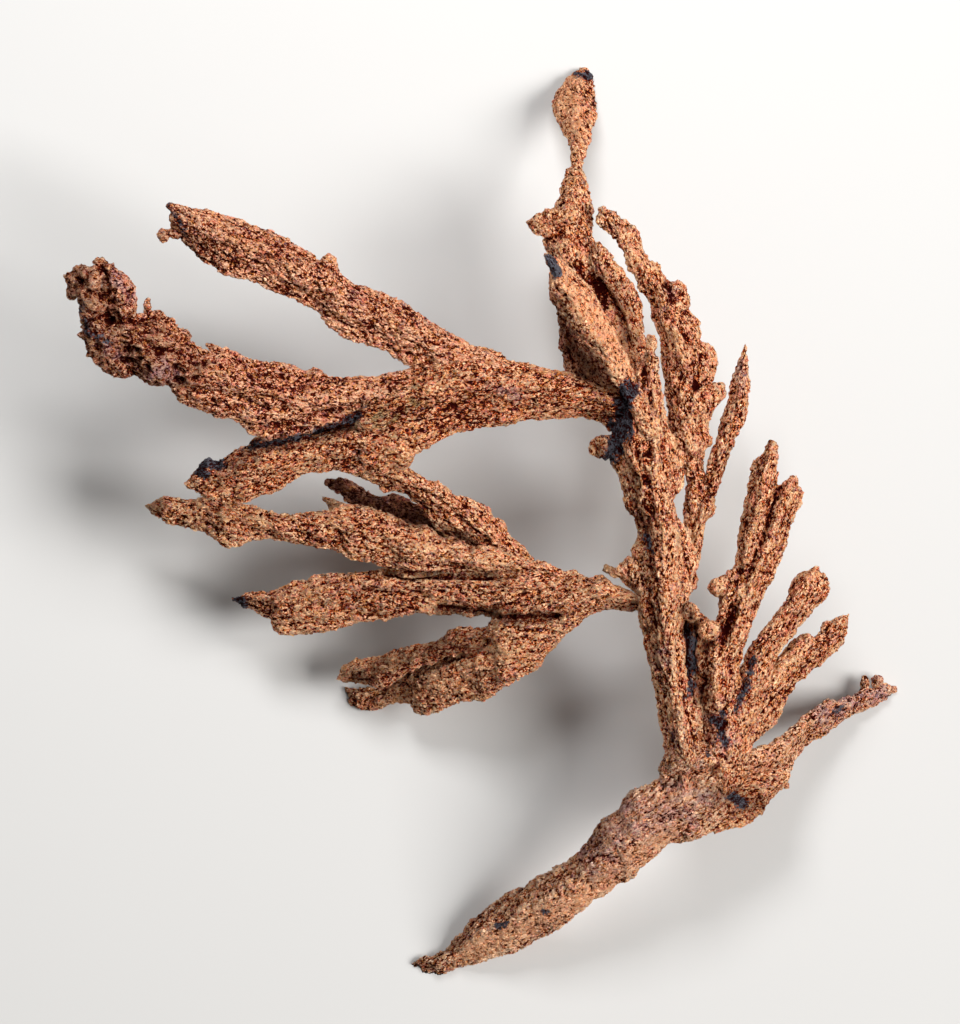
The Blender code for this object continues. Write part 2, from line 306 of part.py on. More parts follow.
        upper=((56.5, 62.0), (54.5, 62.5), (53.0, 62.1), (51.5, 61.8), (50.5, 61.9), (49.3, 62.2),
               (48.7, 63.4), (47.0, 64.0), (45.0, 64.8), (43.0, 65.5), (40.5, 66.5), (39.4, 67.6),
               (38.5, 68.8), (37.0, 68.8), (35.5, 68.9), (34.6, 68.8)),
        lower=((56.0, 64.0), (55.2, 64.8), (54.5, 65.5), (53.7, 66.8), (53.0, 67.3), (52.2, 67.5),
               (51.0, 68.4), (50.0, 69.0), (49.0, 69.7), (48.3, 69.9), (46.8, 70.0), (45.4, 70.3),
               (44.0, 71.0), (42.8, 71.4), (42.0, 71.5), (41.4, 71.3), (41.0, 70.7), (40.5, 70.3),
               (39.7, 70.2), (39.0, 70.4), (38.3, 70.9), (37.6, 71.2), (36.7, 71.2), (35.9, 71.2),
               (35.2, 70.8), (34.7, 70.3), (34.6, 69.5)),
        z=(11.2, 10.6, 9.0, 6.6, 3.9, 1.3, 0.1), crest=0.35, top=0.28, under=0.26, roll=0.8),
    "finger_bottom_upper": dict(
        upper=((54.0, 62.1), (51.5, 61.8), (50.0, 61.7), (49.3, 61.9), (48.7, 62.7), (47.0, 62.8),
               (45.0, 62.9), (44.6, 63.6), (43.5, 64.0), (42.2, 64.3), (40.5, 64.8), (38.9, 65.0),
               (38.0, 65.5), (36.3, 65.8), (35.0, 66.1), (34.2, 66.4), (33.8, 67.5)),
        lower=((53.0, 64.0), (50.0, 64.5), (48.0, 65.0), (45.0, 65.6), (43.0, 66.3), (41.0, 67.1),
               (39.5, 68.0), (38.5, 68.7), (37.2, 68.7), (36.0, 68.3), (35.0, 68.1), (34.3, 68.2),
               (33.8, 67.9)),
        z=(10.8, 10.0, 8.8, 7.2, 5.4, 3.6), crest=0.4, top=0.34, under=0.3, roll=0.4),
}

# Lumps: plan place, height of the middle, half width, half length, half height, turn.
LUMPS = {
    "trunk_nub": ((60.2, 44.6), 16.4, 1.35, 1.0, 1.0, 20),
    "trunk_side_nub": ((69.0, 61.2), 15.0, 0.8, 0.95, 0.9, 0),
    "trunk_top_nub": ((65.0, 34.2), 17.8, 0.5, 0.7, 0.7, 0),
    "fan_lump": ((70.9, 62.9), 15.4, 1.1, 1.0, 1.1, 0),
    "fan_ball": ((71.7, 58.6), 15.2, 0.85, 0.8, 0.8, 0),
    "fan_ball_stalk": ((72.5, 58.0), 15.0, 0.8, 0.45, 0.5, 25),
    "branch_nub_near": ((86.6, 68.5), 1.7, 0.42, 0.95, 0.55, 0),
    "branch_nub_far": ((87.9, 68.2), 1.3, 0.55, 0.6, 0.55, 0),
    "blade_nub": ((32.9, 26.2), 19.6, 0.7, 0.7, 0.7, 0),
    "blade_knob": ((16.4, 23.6), 20.2, 0.6, 0.75, 0.6, 0),
    "blade_knob_stalk": ((17.4, 23.4), 20.2, 1.0, 0.4, 0.4, -8),
    "blade_spike_high": ((17.9, 21.1), 20.4, 1.15, 0.32, 0.34, -24),
    "blade_spike_low": ((17.7, 22.0), 20.3, 0.7, 0.35, 0.35, -20),
    "curl_spike": ((14.9, 31.0), 21.9, 0.3, 1.1, 0.34, 0),
    "curl_bump_left": ((15.9, 31.6), 21.6, 0.55, 0.6, 0.6, 0),
    "curl_bump_right": ((18.2, 33.6), 20.8, 0.75, 0.6, 0.7, -35),
    "curl_thorn": ((21.5, 34.8), 20.0, 0.95, 0.28, 0.3, -24),
}

# Which blades and lumps grow together as one branch, in the order they are fitted:
# a branch is trimmed clear of every branch above it in this list.
BRANCHES = {
    "trunk": dict(blades=("trunk", "trunk_rib", "trunk_spur"),
                  lumps=("trunk_nub", "trunk_side_nub", "trunk_top_nub")),
    "base_spike": dict(blades=("base_spike", "base_lump")),
    "base_ledge": dict(blades=("base_ledge",)),
    "low_branch": dict(blades=("low_branch",), lumps=("branch_nub_near", "branch_nub_far")),
    "fan_tall_blade": dict(blades=("fan_tall_left", "fan_tall_right", "fan_web"),
                           lumps=("fan_lump", "fan_ball", "fan_ball_stalk")),
    "fan_middle_blade": dict(blades=("fan_middle",)),
    "fan_outer_blade": dict(blades=("fan_outer",)),
    "right_column": dict(blades=("right_column",)),
    "needle": dict(blades=("needle",)),
    "top_column": dict(blades=("top_column", "column_flank", "column_knob", "spear")),
    "front_blade": dict(blades=("front_blade",)),
    "left_arm": dict(blades=("left_arm",)),
    "side_blade": dict(blades=("side_blade",)),
    "upper_left_blade": dict(blades=("upper_left_blade",),
                             lumps=("blade_nub", "blade_knob", "blade_knob_stalk",
                                    "blade_spike_high", "blade_spike_low")),
    "curl_blade": dict(blades=("curl_blade", "curl_left", "curl_right", "curl_hook"),
                       lumps=("curl_spike", "curl_bump_left", "curl_bump_right", "curl_thorn")),
    "middle_left_blade": dict(blades=("middle_left_blade",)),
    "cross_blade": dict(blades=("cross_blade",)),
    "under_blade": dict(blades=("under_blade",)),
    "lower_arm": dict(blades=("lower_arm",)),
    "finger_top": dict(blades=("finger_top", "under_point")),
    "finger_middle": dict(blades=("finger_middle",)),
    "finger_bottom": dict(blades=("finger_bottom",)),
    "finger_bottom_upper": dict(blades=("finger_bottom_upper",)),
}

# Base colour of each branch's copper, linear RGB, and its roughness.
METALLIC = 0.9
FINISHES = {
    "bright_copper": ((0.62, 0.27, 0.13), 0.42),
    "brown_copper": ((0.36, 0.15, 0.08), 0.55),
    "dark_copper": ((0.14, 0.06, 0.04), 0.62),
    "tarnished_copper": ((0.34, 0.20, 0.19), 0.50),
}
FINISH_OF = {
    "base_spike": "tarnished_copper",
    "low_branch": "tarnished_copper",
    "curl_blade": "brown_copper",
    "side_blade": "brown_copper",
    "upper_left_blade": "brown_copper",
    "under_blade": "dark_copper",
}


# ---------------------------------------------------------------- the shapes
def on_sheet(points):
    """Sheet points in mm to plan positions in mm about the specimen's middle."""
    points = np.array(points, float)
    return np.column_stack((points[:, 0] - SHEET_CENTRE[0], SHEET_CENTRE[1] - points[:, 1]))


def evenly(points, count):
    """Points at even steps along a polyline."""
    steps = np.hypot(*np.diff(points, axis=0).T)
    along = np.concatenate(([0.0], np.cumsum(steps))) / steps.sum()
    at = np.linspace(0.0, 1.0, count)
    return np.column_stack([np.interp(at, along, points[:, axis]) for axis in (0, 1)])


def lengthwise(value, count):
    """A value, or values at even steps from root to tip, read at each station."""
    values = np.atleast_1d(value)
    return np.interp(np.linspace(0, 1, count), np.linspace(0, 1, len(values)), values)


def section_profile(crest):
    """Shares across and heights of one cross section, for a ridge at this share."""
    across = [0.0]
    height = [0.0]
    for share, rise in TOP_PROFILE:
        across.append(crest * share if share <= 1.0 else crest + (1.0 - crest) * (share - 1.0))
        height.append(rise)
    across.append(1.0)
    height.append(0.0)
    for share, drop in KEEL_PROFILE:
        across.append(share)
        height.append(drop)
    return np.array(across), np.array(height)


def blade_sections(name):
    """Cross sections of a blade, as an array of stations by points by xyz, in mm."""
    blade = BLADES[name]
    chance = np.random.default_rng(sum(ord(letter) for letter in name))
    upper = on_sheet(blade["upper"])
    lower = on_sheet(blade["lower"])
    length = max(np.hypot(*np.diff(edge, axis=0).T).sum() for edge in (upper, lower))
    count = max(4, int(round(length / STATION_PITCH)) + 1)
    upper = evenly(upper, count) + chance.normal(0.0, EDGE_CHIP / 2, (count, 2))
    lower = evenly(lower, count) + chance.normal(0.0, EDGE_CHIP / 2, (count, 2))
    across, height = section_profile(blade["crest"])
    width = np.hypot(*(lower - upper).T)
    above = (width * lengthwise(blade["top"], count))[:, None] * np.maximum(height, 0.0)
    below = (width * lengthwise(blade["under"], count))[:, None] * np.minimum(height, 0.0)
    stray = 1.0 + LUMP_SHARE * chance.uniform(-1.0, 1.0, (count, len(height)))
    plan = upper[:, None, :] + (lower - upper)[:, None, :] * across[None, :, None]
    level = lengthwise(blade["z"], count)[:, None] + blade["roll"] * (0.5 - across)
    rise = level + (above + below) * stray
    return np.concatenate((plan, rise[:, :, None]), axis=2)


def blade_mesh(name):
    """One closed loft through a blade's cross sections."""
    sections = blade_sections(name) * MM
    count, around, _ = sections.shape
    form = bmesh.new()
    rings = [[form.verts.new(point) for point in section] for section in sections]
    for near, far in zip(rings, rings[1:]):
        for i in range(around):
            j = (i + 1) % around
            form.faces.new((near[i], near[j], far[j], far[i]))
    form.faces.new(rings[0][::-1])
    form.faces.new(rings[-1])
    bmesh.ops.triangulate(form, faces=form.faces)
    if form.calc_volume(signed=True) < 0:
        bmesh.ops.reverse_faces(form, faces=form.faces)
    return finished(form, name)


def lump_mesh(name):
    """A rounded crystal lump: a stretched and turned icosphere."""
    place, z, half_width, half_length, half_height, turn = LUMPS[name]
    x, y = on_sheet([place])[0]
    form = bmesh.new()
    rounds = 2 if max(half_width, half_length) >= LARGE_LUMP else 1
    bmesh.ops.create_icosphere(form, subdivisions=rounds, radius=1.0)
    size = Matrix.Diagonal((half_width * MM, half_length * MM, half_height * MM, 1.0))
    turned = Matrix.Rotation(math.radians(turn), 4, "Z")
    bmesh.ops.transform(form, matrix=Matrix.Translation((x * MM, y * MM, z * MM)) @ turned @ size,
                        verts=form.verts)
    return finished(form, name)


def finished(form, name):
    mesh = bpy.data.meshes.new(name)
    form.to_mesh(mesh)
    form.free()
    return mesh


# ------------------------------------------------------------ fitting together
def placed(mesh, name, collection):
    thing = bpy.data.objects.new(name, mesh)
    collection.objects.link(thing)
    return thing


def combine(base, other, operation):
    """Joins or cuts base with other, applied, and drops other.

    The exact solver leaves open edges where two blades' thin edges cross, so this
    takes the manifold solver. Both bodies are closed, as it needs.
    """
    modifier = base.modifiers.new(operation.lower(), "BOOLEAN")
    modifier.operation = operation
    modifier.solver = "MANIFOLD"
    modifier.object = other
    graph = bpy.context.evaluated_depsgraph_get()
    result = bpy.data.meshes.new_from_object(base.evaluated_get(graph))
    base.modifiers.remove(modifier)
    base.data = result
    bpy.data.objects.remove(other)


def grown(source, amount, collection):
    """A copy of a branch with its surface moved out by amount, mm, to cut with."""
    copy = placed(source.data.copy(), "room_for_" + source.name, collection)
    form = bmesh.new()
    form.from_mesh(copy.data)
    form.normal_update()
    shifts = [(vert, vert.normal * amount * MM) for vert in form.verts]
    for vert, shift in shifts:
        vert.co += shift
    form.to_mesh(copy.data)
    form.free()
    return copy


def cleaned(branch):
    """Keeps a branch's largest body and drops the chips that trimming cut loose."""
    form = bmesh.new()
    form.from_mesh(branch.data)
    unseen = set(form.verts)
    bodies = []
    while unseen:
        front = [unseen.pop()]
        body = list(front)
        while front:
            vert = front.pop()
            for edge in vert.link_edges:
                other = edge.other_vert(vert)
                if other in unseen:
                    unseen.remove(other)
                    front.append(other)
                    body.append(other)
        bodies.append(body)
    bodies.sort(key=len)
    for body in bodies[:-1]:
        bmesh.ops.delete(form, geom=body, context="VERTS")
    form.to_mesh(branch.data)
    form.free()
    branch.data.name = branch.name


def near(first, second, margin):
    """Whether two branches' boxes come within margin, mm."""
    boxes = []
    for thing in (first, second):
        corners = np.array([corner[:] for corner in thing.bound_box])
        boxes.append((corners.min(axis=0), corners.max(axis=0)))
    room = margin * MM
    return bool(np.all(boxes[0][0] < boxes[1][1] + room) and np.all(boxes[1][0] < boxes[0][1] + room))


def ground_block(collection):
    """The block under z = 0 that trims the low tips to flat feet."""
    form = bmesh.new()
    bmesh.ops.create_cube(form, size=1.0)
    size = Matrix.Diagonal((GROUND_SIDE * MM, GROUND_SIDE * MM, GROUND_DEPTH * MM, 1.0))
    bmesh.ops.transform(form, matrix=Matrix.Translation((0, 0, -GROUND_DEPTH * MM / 2)) @ size,
                        verts=form.verts)
    return placed(finished(form, "ground_block"), "ground_block", collection)


def copper(name):
    """The plain finish of a branch."""
    colour, roughness = FINISHES[FINISH_OF.get(name, "bright_copper")]
    material = bpy.data.materials.new(name + "_copper")
    material.use_nodes = True
    shader = material.node_tree.nodes["Principled BSDF"]
    shader.inputs["Base Color"].default_value = (*colour, 1.0)
    shader.inputs["Metallic"].default_value = METALLIC
    shader.inputs["Roughness"].default_value = roughness
    return material


def branch_object(name, parts, fitted, collection, cutters):
    """One branch: its blades and lumps joined, trimmed flat below and clear of the rest."""
    blades = parts["blades"]
    branch = placed(blade_mesh(blades[0]), name, collection)
    for extra in blades[1:]:
        combine(branch, placed(blade_mesh(extra), extra, cutters), "UNION")
    for lump in parts.get("lumps", ()):
        combine(branch, placed(lump_mesh(lump), lump, cutters), "UNION")
    if min(corner[2] for corner in branch.bound_box) < 0:
        combine(branch, ground_block(cutters), "DIFFERENCE")
    for other in fitted:
        if near(branch, other, KERF):
            combine(branch, grown(other, KERF, cutters), "DIFFERENCE")
    cleaned(branch)
    branch.data.materials.append(copper(name))
    return branch


def main():
    for thing in list(bpy.data.objects):
        bpy.data.objects.remove(thing)
    specimen = bpy.data.collections.new(SPECIMEN)
    cutters = bpy.data.collections.new("cutters")
    for collection in (specimen, cutters):
        bpy.context.scene.collection.children.link(collection)
    fitted = []
    for name, parts in BRANCHES.items():
        fitted.append(branch_object(name, parts, fitted, specimen, cutters))


main()
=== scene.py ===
"""Native copper specimen: the flaky copper skin of each branch, with floor, light and camera.

Every branch is a set of flattened crystal blades and small lumps. A blade is a grid surface:
a lozenge cross section carried between two plan edges. A lump is a stretched ball. The blades
and lumps of one branch are closed into one skin, which is pushed out and in by soft lumps,
lengthwise folds, flakes and pits. Each point keeps how far it stands above or below its
surroundings, so that the finish can paint shade into the pits and hollows and paint light
onto the tops. Tables are in millimetres, the scene in metres. +Z is up and the specimen lies on z =
0.
"""

import math

import bpy
import numpy as np
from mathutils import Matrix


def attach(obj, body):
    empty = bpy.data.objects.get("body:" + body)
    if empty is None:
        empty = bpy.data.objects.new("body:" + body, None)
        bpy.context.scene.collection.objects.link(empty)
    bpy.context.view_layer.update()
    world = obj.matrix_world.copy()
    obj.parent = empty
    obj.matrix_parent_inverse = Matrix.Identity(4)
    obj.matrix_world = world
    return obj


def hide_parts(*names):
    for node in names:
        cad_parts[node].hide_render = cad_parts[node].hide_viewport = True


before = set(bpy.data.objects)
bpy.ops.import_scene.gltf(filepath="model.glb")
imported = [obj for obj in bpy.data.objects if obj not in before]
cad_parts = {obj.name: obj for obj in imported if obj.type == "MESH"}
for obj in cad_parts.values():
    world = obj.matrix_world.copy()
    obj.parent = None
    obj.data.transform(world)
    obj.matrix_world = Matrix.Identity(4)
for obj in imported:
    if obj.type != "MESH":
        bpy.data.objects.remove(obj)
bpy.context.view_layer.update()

MM = 0.001
SHEET_CENTRE = (48.1, 52.15)  # the specimen's middle on the drawing sheet, mm
NEAR_ZERO = 1e-9

# ------------------------------------------------------------- skin, in millimetres
GRID_PITCH = 0.26       # spacing of a blade's grid lines before the skin is closed
SLOPE = 1.15            # how much longer a blade's sloping face is than its width in plan
LEAST_RINGS = 8         # a short blade or a small lump still gets this many rings
LEAST_ACROSS = 5        # and a narrow blade this many points across each of its two faces
CAP_ANGLES = (30.0, 60.0, 90.0)  # degrees, of the three rings that close a blade's end
SKIN_PITCH = 0.125      # spacing of the closed skin's points
DOWNWARD = -0.15        # a point whose normal is lower than this looks down
BELOW_SHARE = 0.36      # share of the triangles that are kept on the faces that look down
RIM = 0.13              # half thickness kept along a blade's thin edges
RIM_POWER = 6           # how squarely that thickness ends
EDGE_TEETH = 0.11       # how far the serrated edges stray in plan
TOOTH_PITCH = 0.70      # distance between the teeth
TOP_POWER = 1.15        # roundness of the faces above: 1 is a flat-sided lozenge
KEEL_POWER = 1.25       # roundness of the faces below
RIB_WANDER = (2.5, 0.8)  # size of the noise that bends the ribs, and its reach in ribs

# ------------------------------------------------------------------ outlines
# Plan points in millimetres on a drawing sheet: x to the right, y down from the
# sheet's top left corner. A blade has two edges, each read from its root to its
# tip: "upper" is the edge on its upper or left side in plan, "lower" the other.
# z is the height of the edges at even steps from root to tip, crest says where
# the ridge lies between the edges (0 upper, 1 lower), top and under are the
# ridge's and the keel's share of the width, and roll is how much higher the upper
# edge lies than the lower one. A share given as several values changes lengthwise.
BLADES = {
    "trunk": dict(
        upper=((67.2, 80.0), (66.3, 77.0), (66.6, 75.5), (66.1, 73.1), (65.6, 70.3), (65.1, 66.7),
               (64.0, 63.1), (63.4, 60.0), (63.2, 57.5), (63.3, 55.0), (63.7, 53.7), (63.4, 51.8),
               (62.5, 50.8), (62.1, 49.5), (61.7, 47.8), (61.0, 46.0), (60.6, 44.4), (61.2, 42.4),
               (61.6, 40.0), (62.2, 38.5), (63.0, 37.2), (64.0, 35.8), (64.7, 34.2)),
        lower=((71.2, 80.0), (70.4, 76.0), (70.0, 72.0), (69.6, 68.0), (69.3, 65.0), (69.4, 62.4),
               (68.8, 60.0), (69.2, 58.0), (69.7, 56.0), (69.0, 53.5), (67.6, 51.3),
               (67.3, 50.0), (68.0, 49.2), (68.5, 48.0), (68.3, 45.8), (67.2, 44.0), (66.5, 42.0),
               (66.3, 40.0), (66.0, 38.5), (65.8, 37.0), (65.5, 35.5), (65.0, 34.0)),
        z=(11.5, 12.6, 13.8, 15.0, 16.2, 17.0, 17.6), crest=0.34, top=0.42, under=0.36, roll=0.0),
    "trunk_rib": dict(
        upper=((67.6, 76.0), (66.6, 70.0), (65.6, 64.0), (64.8, 58.0), (65.0, 52.0), (63.9, 48.0),
               (63.6, 44.5), (64.4, 41.0), (64.2, 37.5), (64.6, 34.4)),
        lower=((70.2, 76.0), (69.0, 70.0), (68.0, 64.0), (67.4, 58.0), (67.6, 52.5), (66.6, 48.0),
               (66.2, 44.5), (66.2, 41.0), (65.8, 37.0), (65.2, 34.4)),
        z=(13.6, 15.0, 16.6, 17.6, 18.2, 18.6), crest=0.45, top=0.32, under=0.3, roll=0.0),
    "trunk_spur": dict(
        upper=((65.5, 55.4), (63.2, 55.6), (62.4, 55.9), (61.9, 56.3), (61.4, 56.7), (60.6, 56.6)),
        lower=((65.5, 59.4), (63.2, 59.0), (62.5, 58.4), (61.8, 57.8), (61.2, 57.4), (60.6, 57.1)),
        z=(14.6, 14.6, 15.0), crest=0.4, top=0.5, under=0.4, roll=0.0),
    "base_spike": dict(
        upper=((69.5, 76.2), (66.8, 77.4), (65.5, 78.3), (64.2, 78.8), (63.4, 78.6), (62.8, 79.2),
               (62.2, 80.0), (61.9, 81.2), (60.4, 81.8), (59.7, 82.6), (58.9, 83.8), (57.7, 85.0),
               (57.0, 85.8), (54.5, 87.3), (52.1, 88.8), (49.7, 90.2), (47.3, 91.9), (45.6, 93.9),
               (44.4, 95.2), (43.0, 95.7), (42.4, 95.5), (41.7, 96.0), (41.4, 96.4)),
        lower=((71.5, 82.5), (69.0, 84.0), (67.8, 84.1), (66.8, 84.6), (65.7, 85.4), (65.0, 86.2),
               (64.0, 86.9), (63.4, 87.8), (62.0, 88.4), (61.3, 88.8), (60.8, 89.5), (59.2, 90.0),
               (57.9, 91.4), (55.7, 93.1), (54.5, 93.8), (53.3, 94.5), (51.5, 95.4), (50.0, 95.7),
               (48.5, 96.3), (46.3, 96.8), (44.8, 97.3), (43.5, 97.7), (42.3, 97.5), (41.6, 96.9)),
        z=(11.0, 10.6, 9.4, 7.4, 5.0, 2.6, 0.7, 0.1), crest=0.42, top=0.36, under=0.3, roll=1.0),
    "base_lump": dict(
        upper=((69.5, 77.8), (67.6, 78.4), (66.0, 78.3), (65.7, 76.8), (66.4, 75.4), (67.6, 74.9)),
        lower=((71.5, 74.5), (70.8, 74.2), (70.0, 74.0), (69.2, 74.0), (68.6, 74.2), (68.0, 74.6)),
        z=(12.4, 12.6, 12.4), crest=0.5, top=0.34, under=0.34, roll=0.0),
    "base_ledge": dict(
        upper=((66.5, 79.5), (70.0, 79.0), (72.0, 78.6), (74.0, 78.0), (76.0, 77.4), (77.6, 77.0),
               (78.9, 77.3), (78.5, 78.3)),
        lower=((66.8, 84.4), (68.8, 84.2), (69.7, 83.9), (70.5, 83.3), (72.5, 83.0), (74.2, 82.7),
               (75.2, 82.1), (75.7, 81.5), (76.6, 80.9), (76.6, 80.2), (77.6, 79.3), (78.3, 78.6)),
        z=(10.4, 9.9, 9.0, 8.2), crest=0.3, top=0.34, under=0.34, roll=1.6),
    "low_branch": dict(
        upper=((70.0, 76.5), (71.6, 76.0), (73.5, 76.0), (74.7, 75.3), (76.5, 74.6), (78.3, 73.3),
               (80.1, 71.9), (81.1, 71.2), (81.9, 70.8), (82.4, 70.0), (83.0, 69.9), (83.8, 70.3),
               (84.6, 69.7), (85.8, 69.2), (86.4, 68.8), (87.4, 68.9), (88.5, 68.3), (89.3, 68.9)),
        lower=((69.5, 80.0), (73.5, 78.6), (75.5, 77.9), (77.5, 77.3), (79.0, 77.4), (79.3, 76.3),
               (79.7, 75.7), (80.1, 75.1), (81.7, 74.0), (83.3, 72.9), (85.4, 71.5), (87.7, 70.6),
               (88.8, 69.9), (89.4, 69.3)),
        z=(11.4, 10.8, 9.0, 6.6, 4.0, 1.5, 0.1), crest=0.35, top=0.4, under=0.34, roll=0.8),
    "fan_tall_left": dict(
        upper=((70.6, 77.5), (70.5, 73.0), (70.3, 69.0), (70.1, 65.6), (70.6, 64.0), (71.3, 62.5),
               (71.7, 60.6), (72.2, 59.0), (72.8, 57.2), (73.5, 56.6), (73.7, 54.5), (73.9, 53.0),
               (74.2, 51.0), (74.7, 49.0), (75.0, 47.0), (75.2, 46.2), (75.8, 45.7), (76.2, 45.1),
               (76.7, 44.2)),
        lower=((74.4, 77.5), (73.9, 72.0), (73.0, 67.0), (73.3, 63.0), (74.2, 60.5), (75.1, 58.0),
               (75.9, 55.5), (76.8, 53.5), (77.3, 51.5), (77.6, 49.7), (77.7, 48.2), (77.6, 47.0),
               (77.4, 45.2)),
        z=(11.8, 12.8, 13.8, 14.8, 15.6, 16.0, 16.4), crest=0.45, top=0.42, under=0.42, roll=0.0),
    "fan_tall_right": dict(
        upper=((71.2, 75.0), (71.4, 70.0), (71.6, 66.0), (72.3, 62.8), (73.2, 60.3), (74.1, 57.6),
               (74.9, 55.3), (75.8, 53.0), (76.5, 51.0), (77.2, 49.2), (77.9, 48.3), (78.6, 47.9)),
        lower=((75.0, 75.0), (74.6, 70.5), (73.7, 66.8), (74.5, 64.5), (75.2, 62.5), (76.0, 60.0),
               (76.8, 58.5), (77.5, 57.0), (78.2, 55.0), (78.8, 53.0), (79.5, 51.5), (80.0, 50.4),
               (80.2, 49.2), (79.6, 48.3)),
        z=(12.2, 13.4, 14.4, 15.2, 15.6, 15.8), crest=0.38, top=0.42, under=0.4, roll=0.4),
    "fan_web": dict(
        upper=((69.6, 77.5), (69.0, 74.0), (68.6, 70.0), (68.3, 67.0), (68.2, 64.5), (68.5, 62.4)),
        lower=((73.4, 77.5), (73.0, 74.0), (72.6, 70.0), (72.2, 67.0), (71.8, 64.5), (71.0, 62.2)),
        z=(11.2, 11.8, 12.4, 12.8), crest=0.5, top=0.28, under=0.36, roll=0.0),
    "fan_middle": dict(
        upper=((72.0, 74.5), (72.8, 70.5), (73.8, 67.2), (74.7, 64.9), (75.6, 63.5), (77.2, 61.4),
               (77.9, 60.7), (78.6, 60.1), (78.9, 59.0), (79.4, 58.0), (80.3, 57.3), (81.1, 56.9)),
        lower=((74.6, 75.0), (75.6, 71.8), (76.4, 69.0), (77.2, 66.5), (79.0, 63.7), (80.1, 62.1),
               (81.3, 60.9), (82.0, 60.3), (82.7, 59.6), (82.8, 58.5), (82.5, 57.6), (81.9, 57.2)),
        z=(11.8, 12.4, 12.8, 12.8, 12.4, 12.0), crest=0.4, top=0.36, under=0.36, roll=0.6),
    "fan_outer": dict(
        upper=((73.0, 76.0), (74.2, 72.0), (75.5, 69.0), (76.8, 66.8), (78.0, 65.5), (78.8, 64.7),
               (79.7, 63.7), (80.8, 63.2), (81.1, 64.0), (82.0, 63.2), (82.2, 62.2), (83.5, 61.7),
               (84.6, 61.5)),
        lower=((74.0, 77.0), (75.4, 74.2), (76.9, 73.1), (78.1, 71.4), (78.8, 69.6), (79.7, 68.1),
               (81.1, 67.1), (82.9, 65.8), (83.8, 65.0), (84.2, 64.4), (84.5, 63.5), (84.8, 62.6),
               (84.8, 61.8)),
        z=(11.4, 11.4, 11.0, 10.4, 9.6, 8.8), crest=0.4, top=0.34, under=0.34, roll=0.8),
    "right_column": dict(
        upper=((67.6, 55.5), (68.2, 53.0), (68.3, 51.0), (68.4, 49.0), (68.5, 47.5), (67.8, 45.6),
               (66.8, 43.0), (66.5, 40.0),
               (66.3, 39.0), (66.1, 37.5), (66.0, 34.5), (65.8, 33.3), (65.5, 32.5), (65.0, 31.8),
               (64.9, 30.5), (64.5, 29.8), (63.8, 29.0), (63.6, 28.0), (62.9, 27.0), (62.5, 26.2),
               (62.3, 25.1), (61.8, 24.5), (61.3, 23.8), (60.6, 23.3), (60.0, 22.6), (59.6, 21.9),
               (59.8, 21.1)),
        lower=((69.8, 56.0), (70.3, 53.0), (70.9, 50.5), (70.8, 48.0), (70.1, 46.4), (70.3, 45.0),
               (71.1, 44.2), (70.8, 43.0),
               (70.7, 42.2), (71.6, 40.5), (72.4, 39.5), (72.5, 38.4), (71.8, 38.3), (70.9, 38.5),
               (71.4, 37.0), (71.5, 35.8), (71.2, 34.8), (70.7, 34.2), (69.9, 34.2), (70.0, 33.0),
               (69.8, 32.0), (69.3, 31.3), (68.9, 31.0), (69.2, 30.0), (69.0, 29.4), (68.7, 28.6),
               (68.0, 28.1), (67.3, 28.3), (66.6, 27.6), (65.9, 26.9), (65.9, 26.1), (65.2, 26.2),
               (64.8, 26.2), (64.2, 25.0), (63.8, 24.2), (63.9, 23.4), (63.4, 22.6), (62.4, 22.0),
               (61.4, 21.0), (60.6, 20.8)),
        z=(13.4, 14.0, 14.2, 13.8, 13.2, 12.6, 12.0), crest=0.45, top=0.34, under=0.32, roll=0.4),
    "needle": dict(
        upper=((68.4, 58.5), (69.2, 54.0), (69.6, 51.5), (70.0, 49.5), (70.4, 48.0), (70.8, 46.5),
               (71.1, 45.0), (71.6, 43.8), (71.7, 42.8), (72.1, 42.0), (72.2, 41.2), (72.5, 40.4),
               (72.8, 39.4), (72.9, 38.0), (73.2, 37.1), (73.6, 36.1), (74.0, 35.1), (74.3, 34.5)),
        lower=((69.6, 58.5), (69.8, 56.0), (69.9, 54.8), (70.3, 54.0), (70.3, 53.0), (70.8, 52.0),
               (71.3, 51.0), (71.4, 50.0), (71.8, 49.0), (72.0, 48.0), (72.4, 47.0), (72.8, 45.5),
               (73.1, 44.5), (73.7, 43.0), (74.2, 42.1), (74.5, 41.4), (74.7, 40.4), (74.7, 39.5),
               (74.9, 38.4), (74.9, 37.2), (74.8, 36.0), (74.6, 35.0)),
        z=(14.2, 14.4, 14.2, 13.6, 12.8, 12.0), crest=0.5, top=0.45, under=0.45, roll=0.0),
    "top_column": dict(
        upper=((62.0, 40.0), (60.6, 37.2), (59.2, 34.5), (57.8, 31.6), (56.6, 28.8), (55.6, 26.8),
               (54.9, 25.6), (54.5, 25.0), (54.3, 23.8), (54.6, 22.4), (54.9, 21.2), (55.5, 20.0),
               (56.1, 19.0), (56.3, 17.6), (56.4, 17.2)),
        lower=((64.6, 40.0), (63.4, 37.0), (62.2, 34.0), (61.2, 31.0), (60.2, 28.4), (59.4, 26.2),
               (59.5, 24.3), (59.1, 23.5), (59.3, 21.8), (59.3, 21.0), (59.1, 20.0), (58.9, 19.0),
               (58.6, 18.0), (58.4, 17.2)),
        z=(15.6, 15.2, 14.6, 13.6, 12.2, 10.4, 8.8), crest=0.45, top=0.38, under=0.36, roll=0.0),
    "column_flank": dict(
        upper=((64.2, 41.0), (63.0, 37.4), (62.0, 34.0), (60.8, 31.0), (59.8, 29.0), (59.2, 27.0),
               (59.2, 25.6), (59.6, 24.6)),
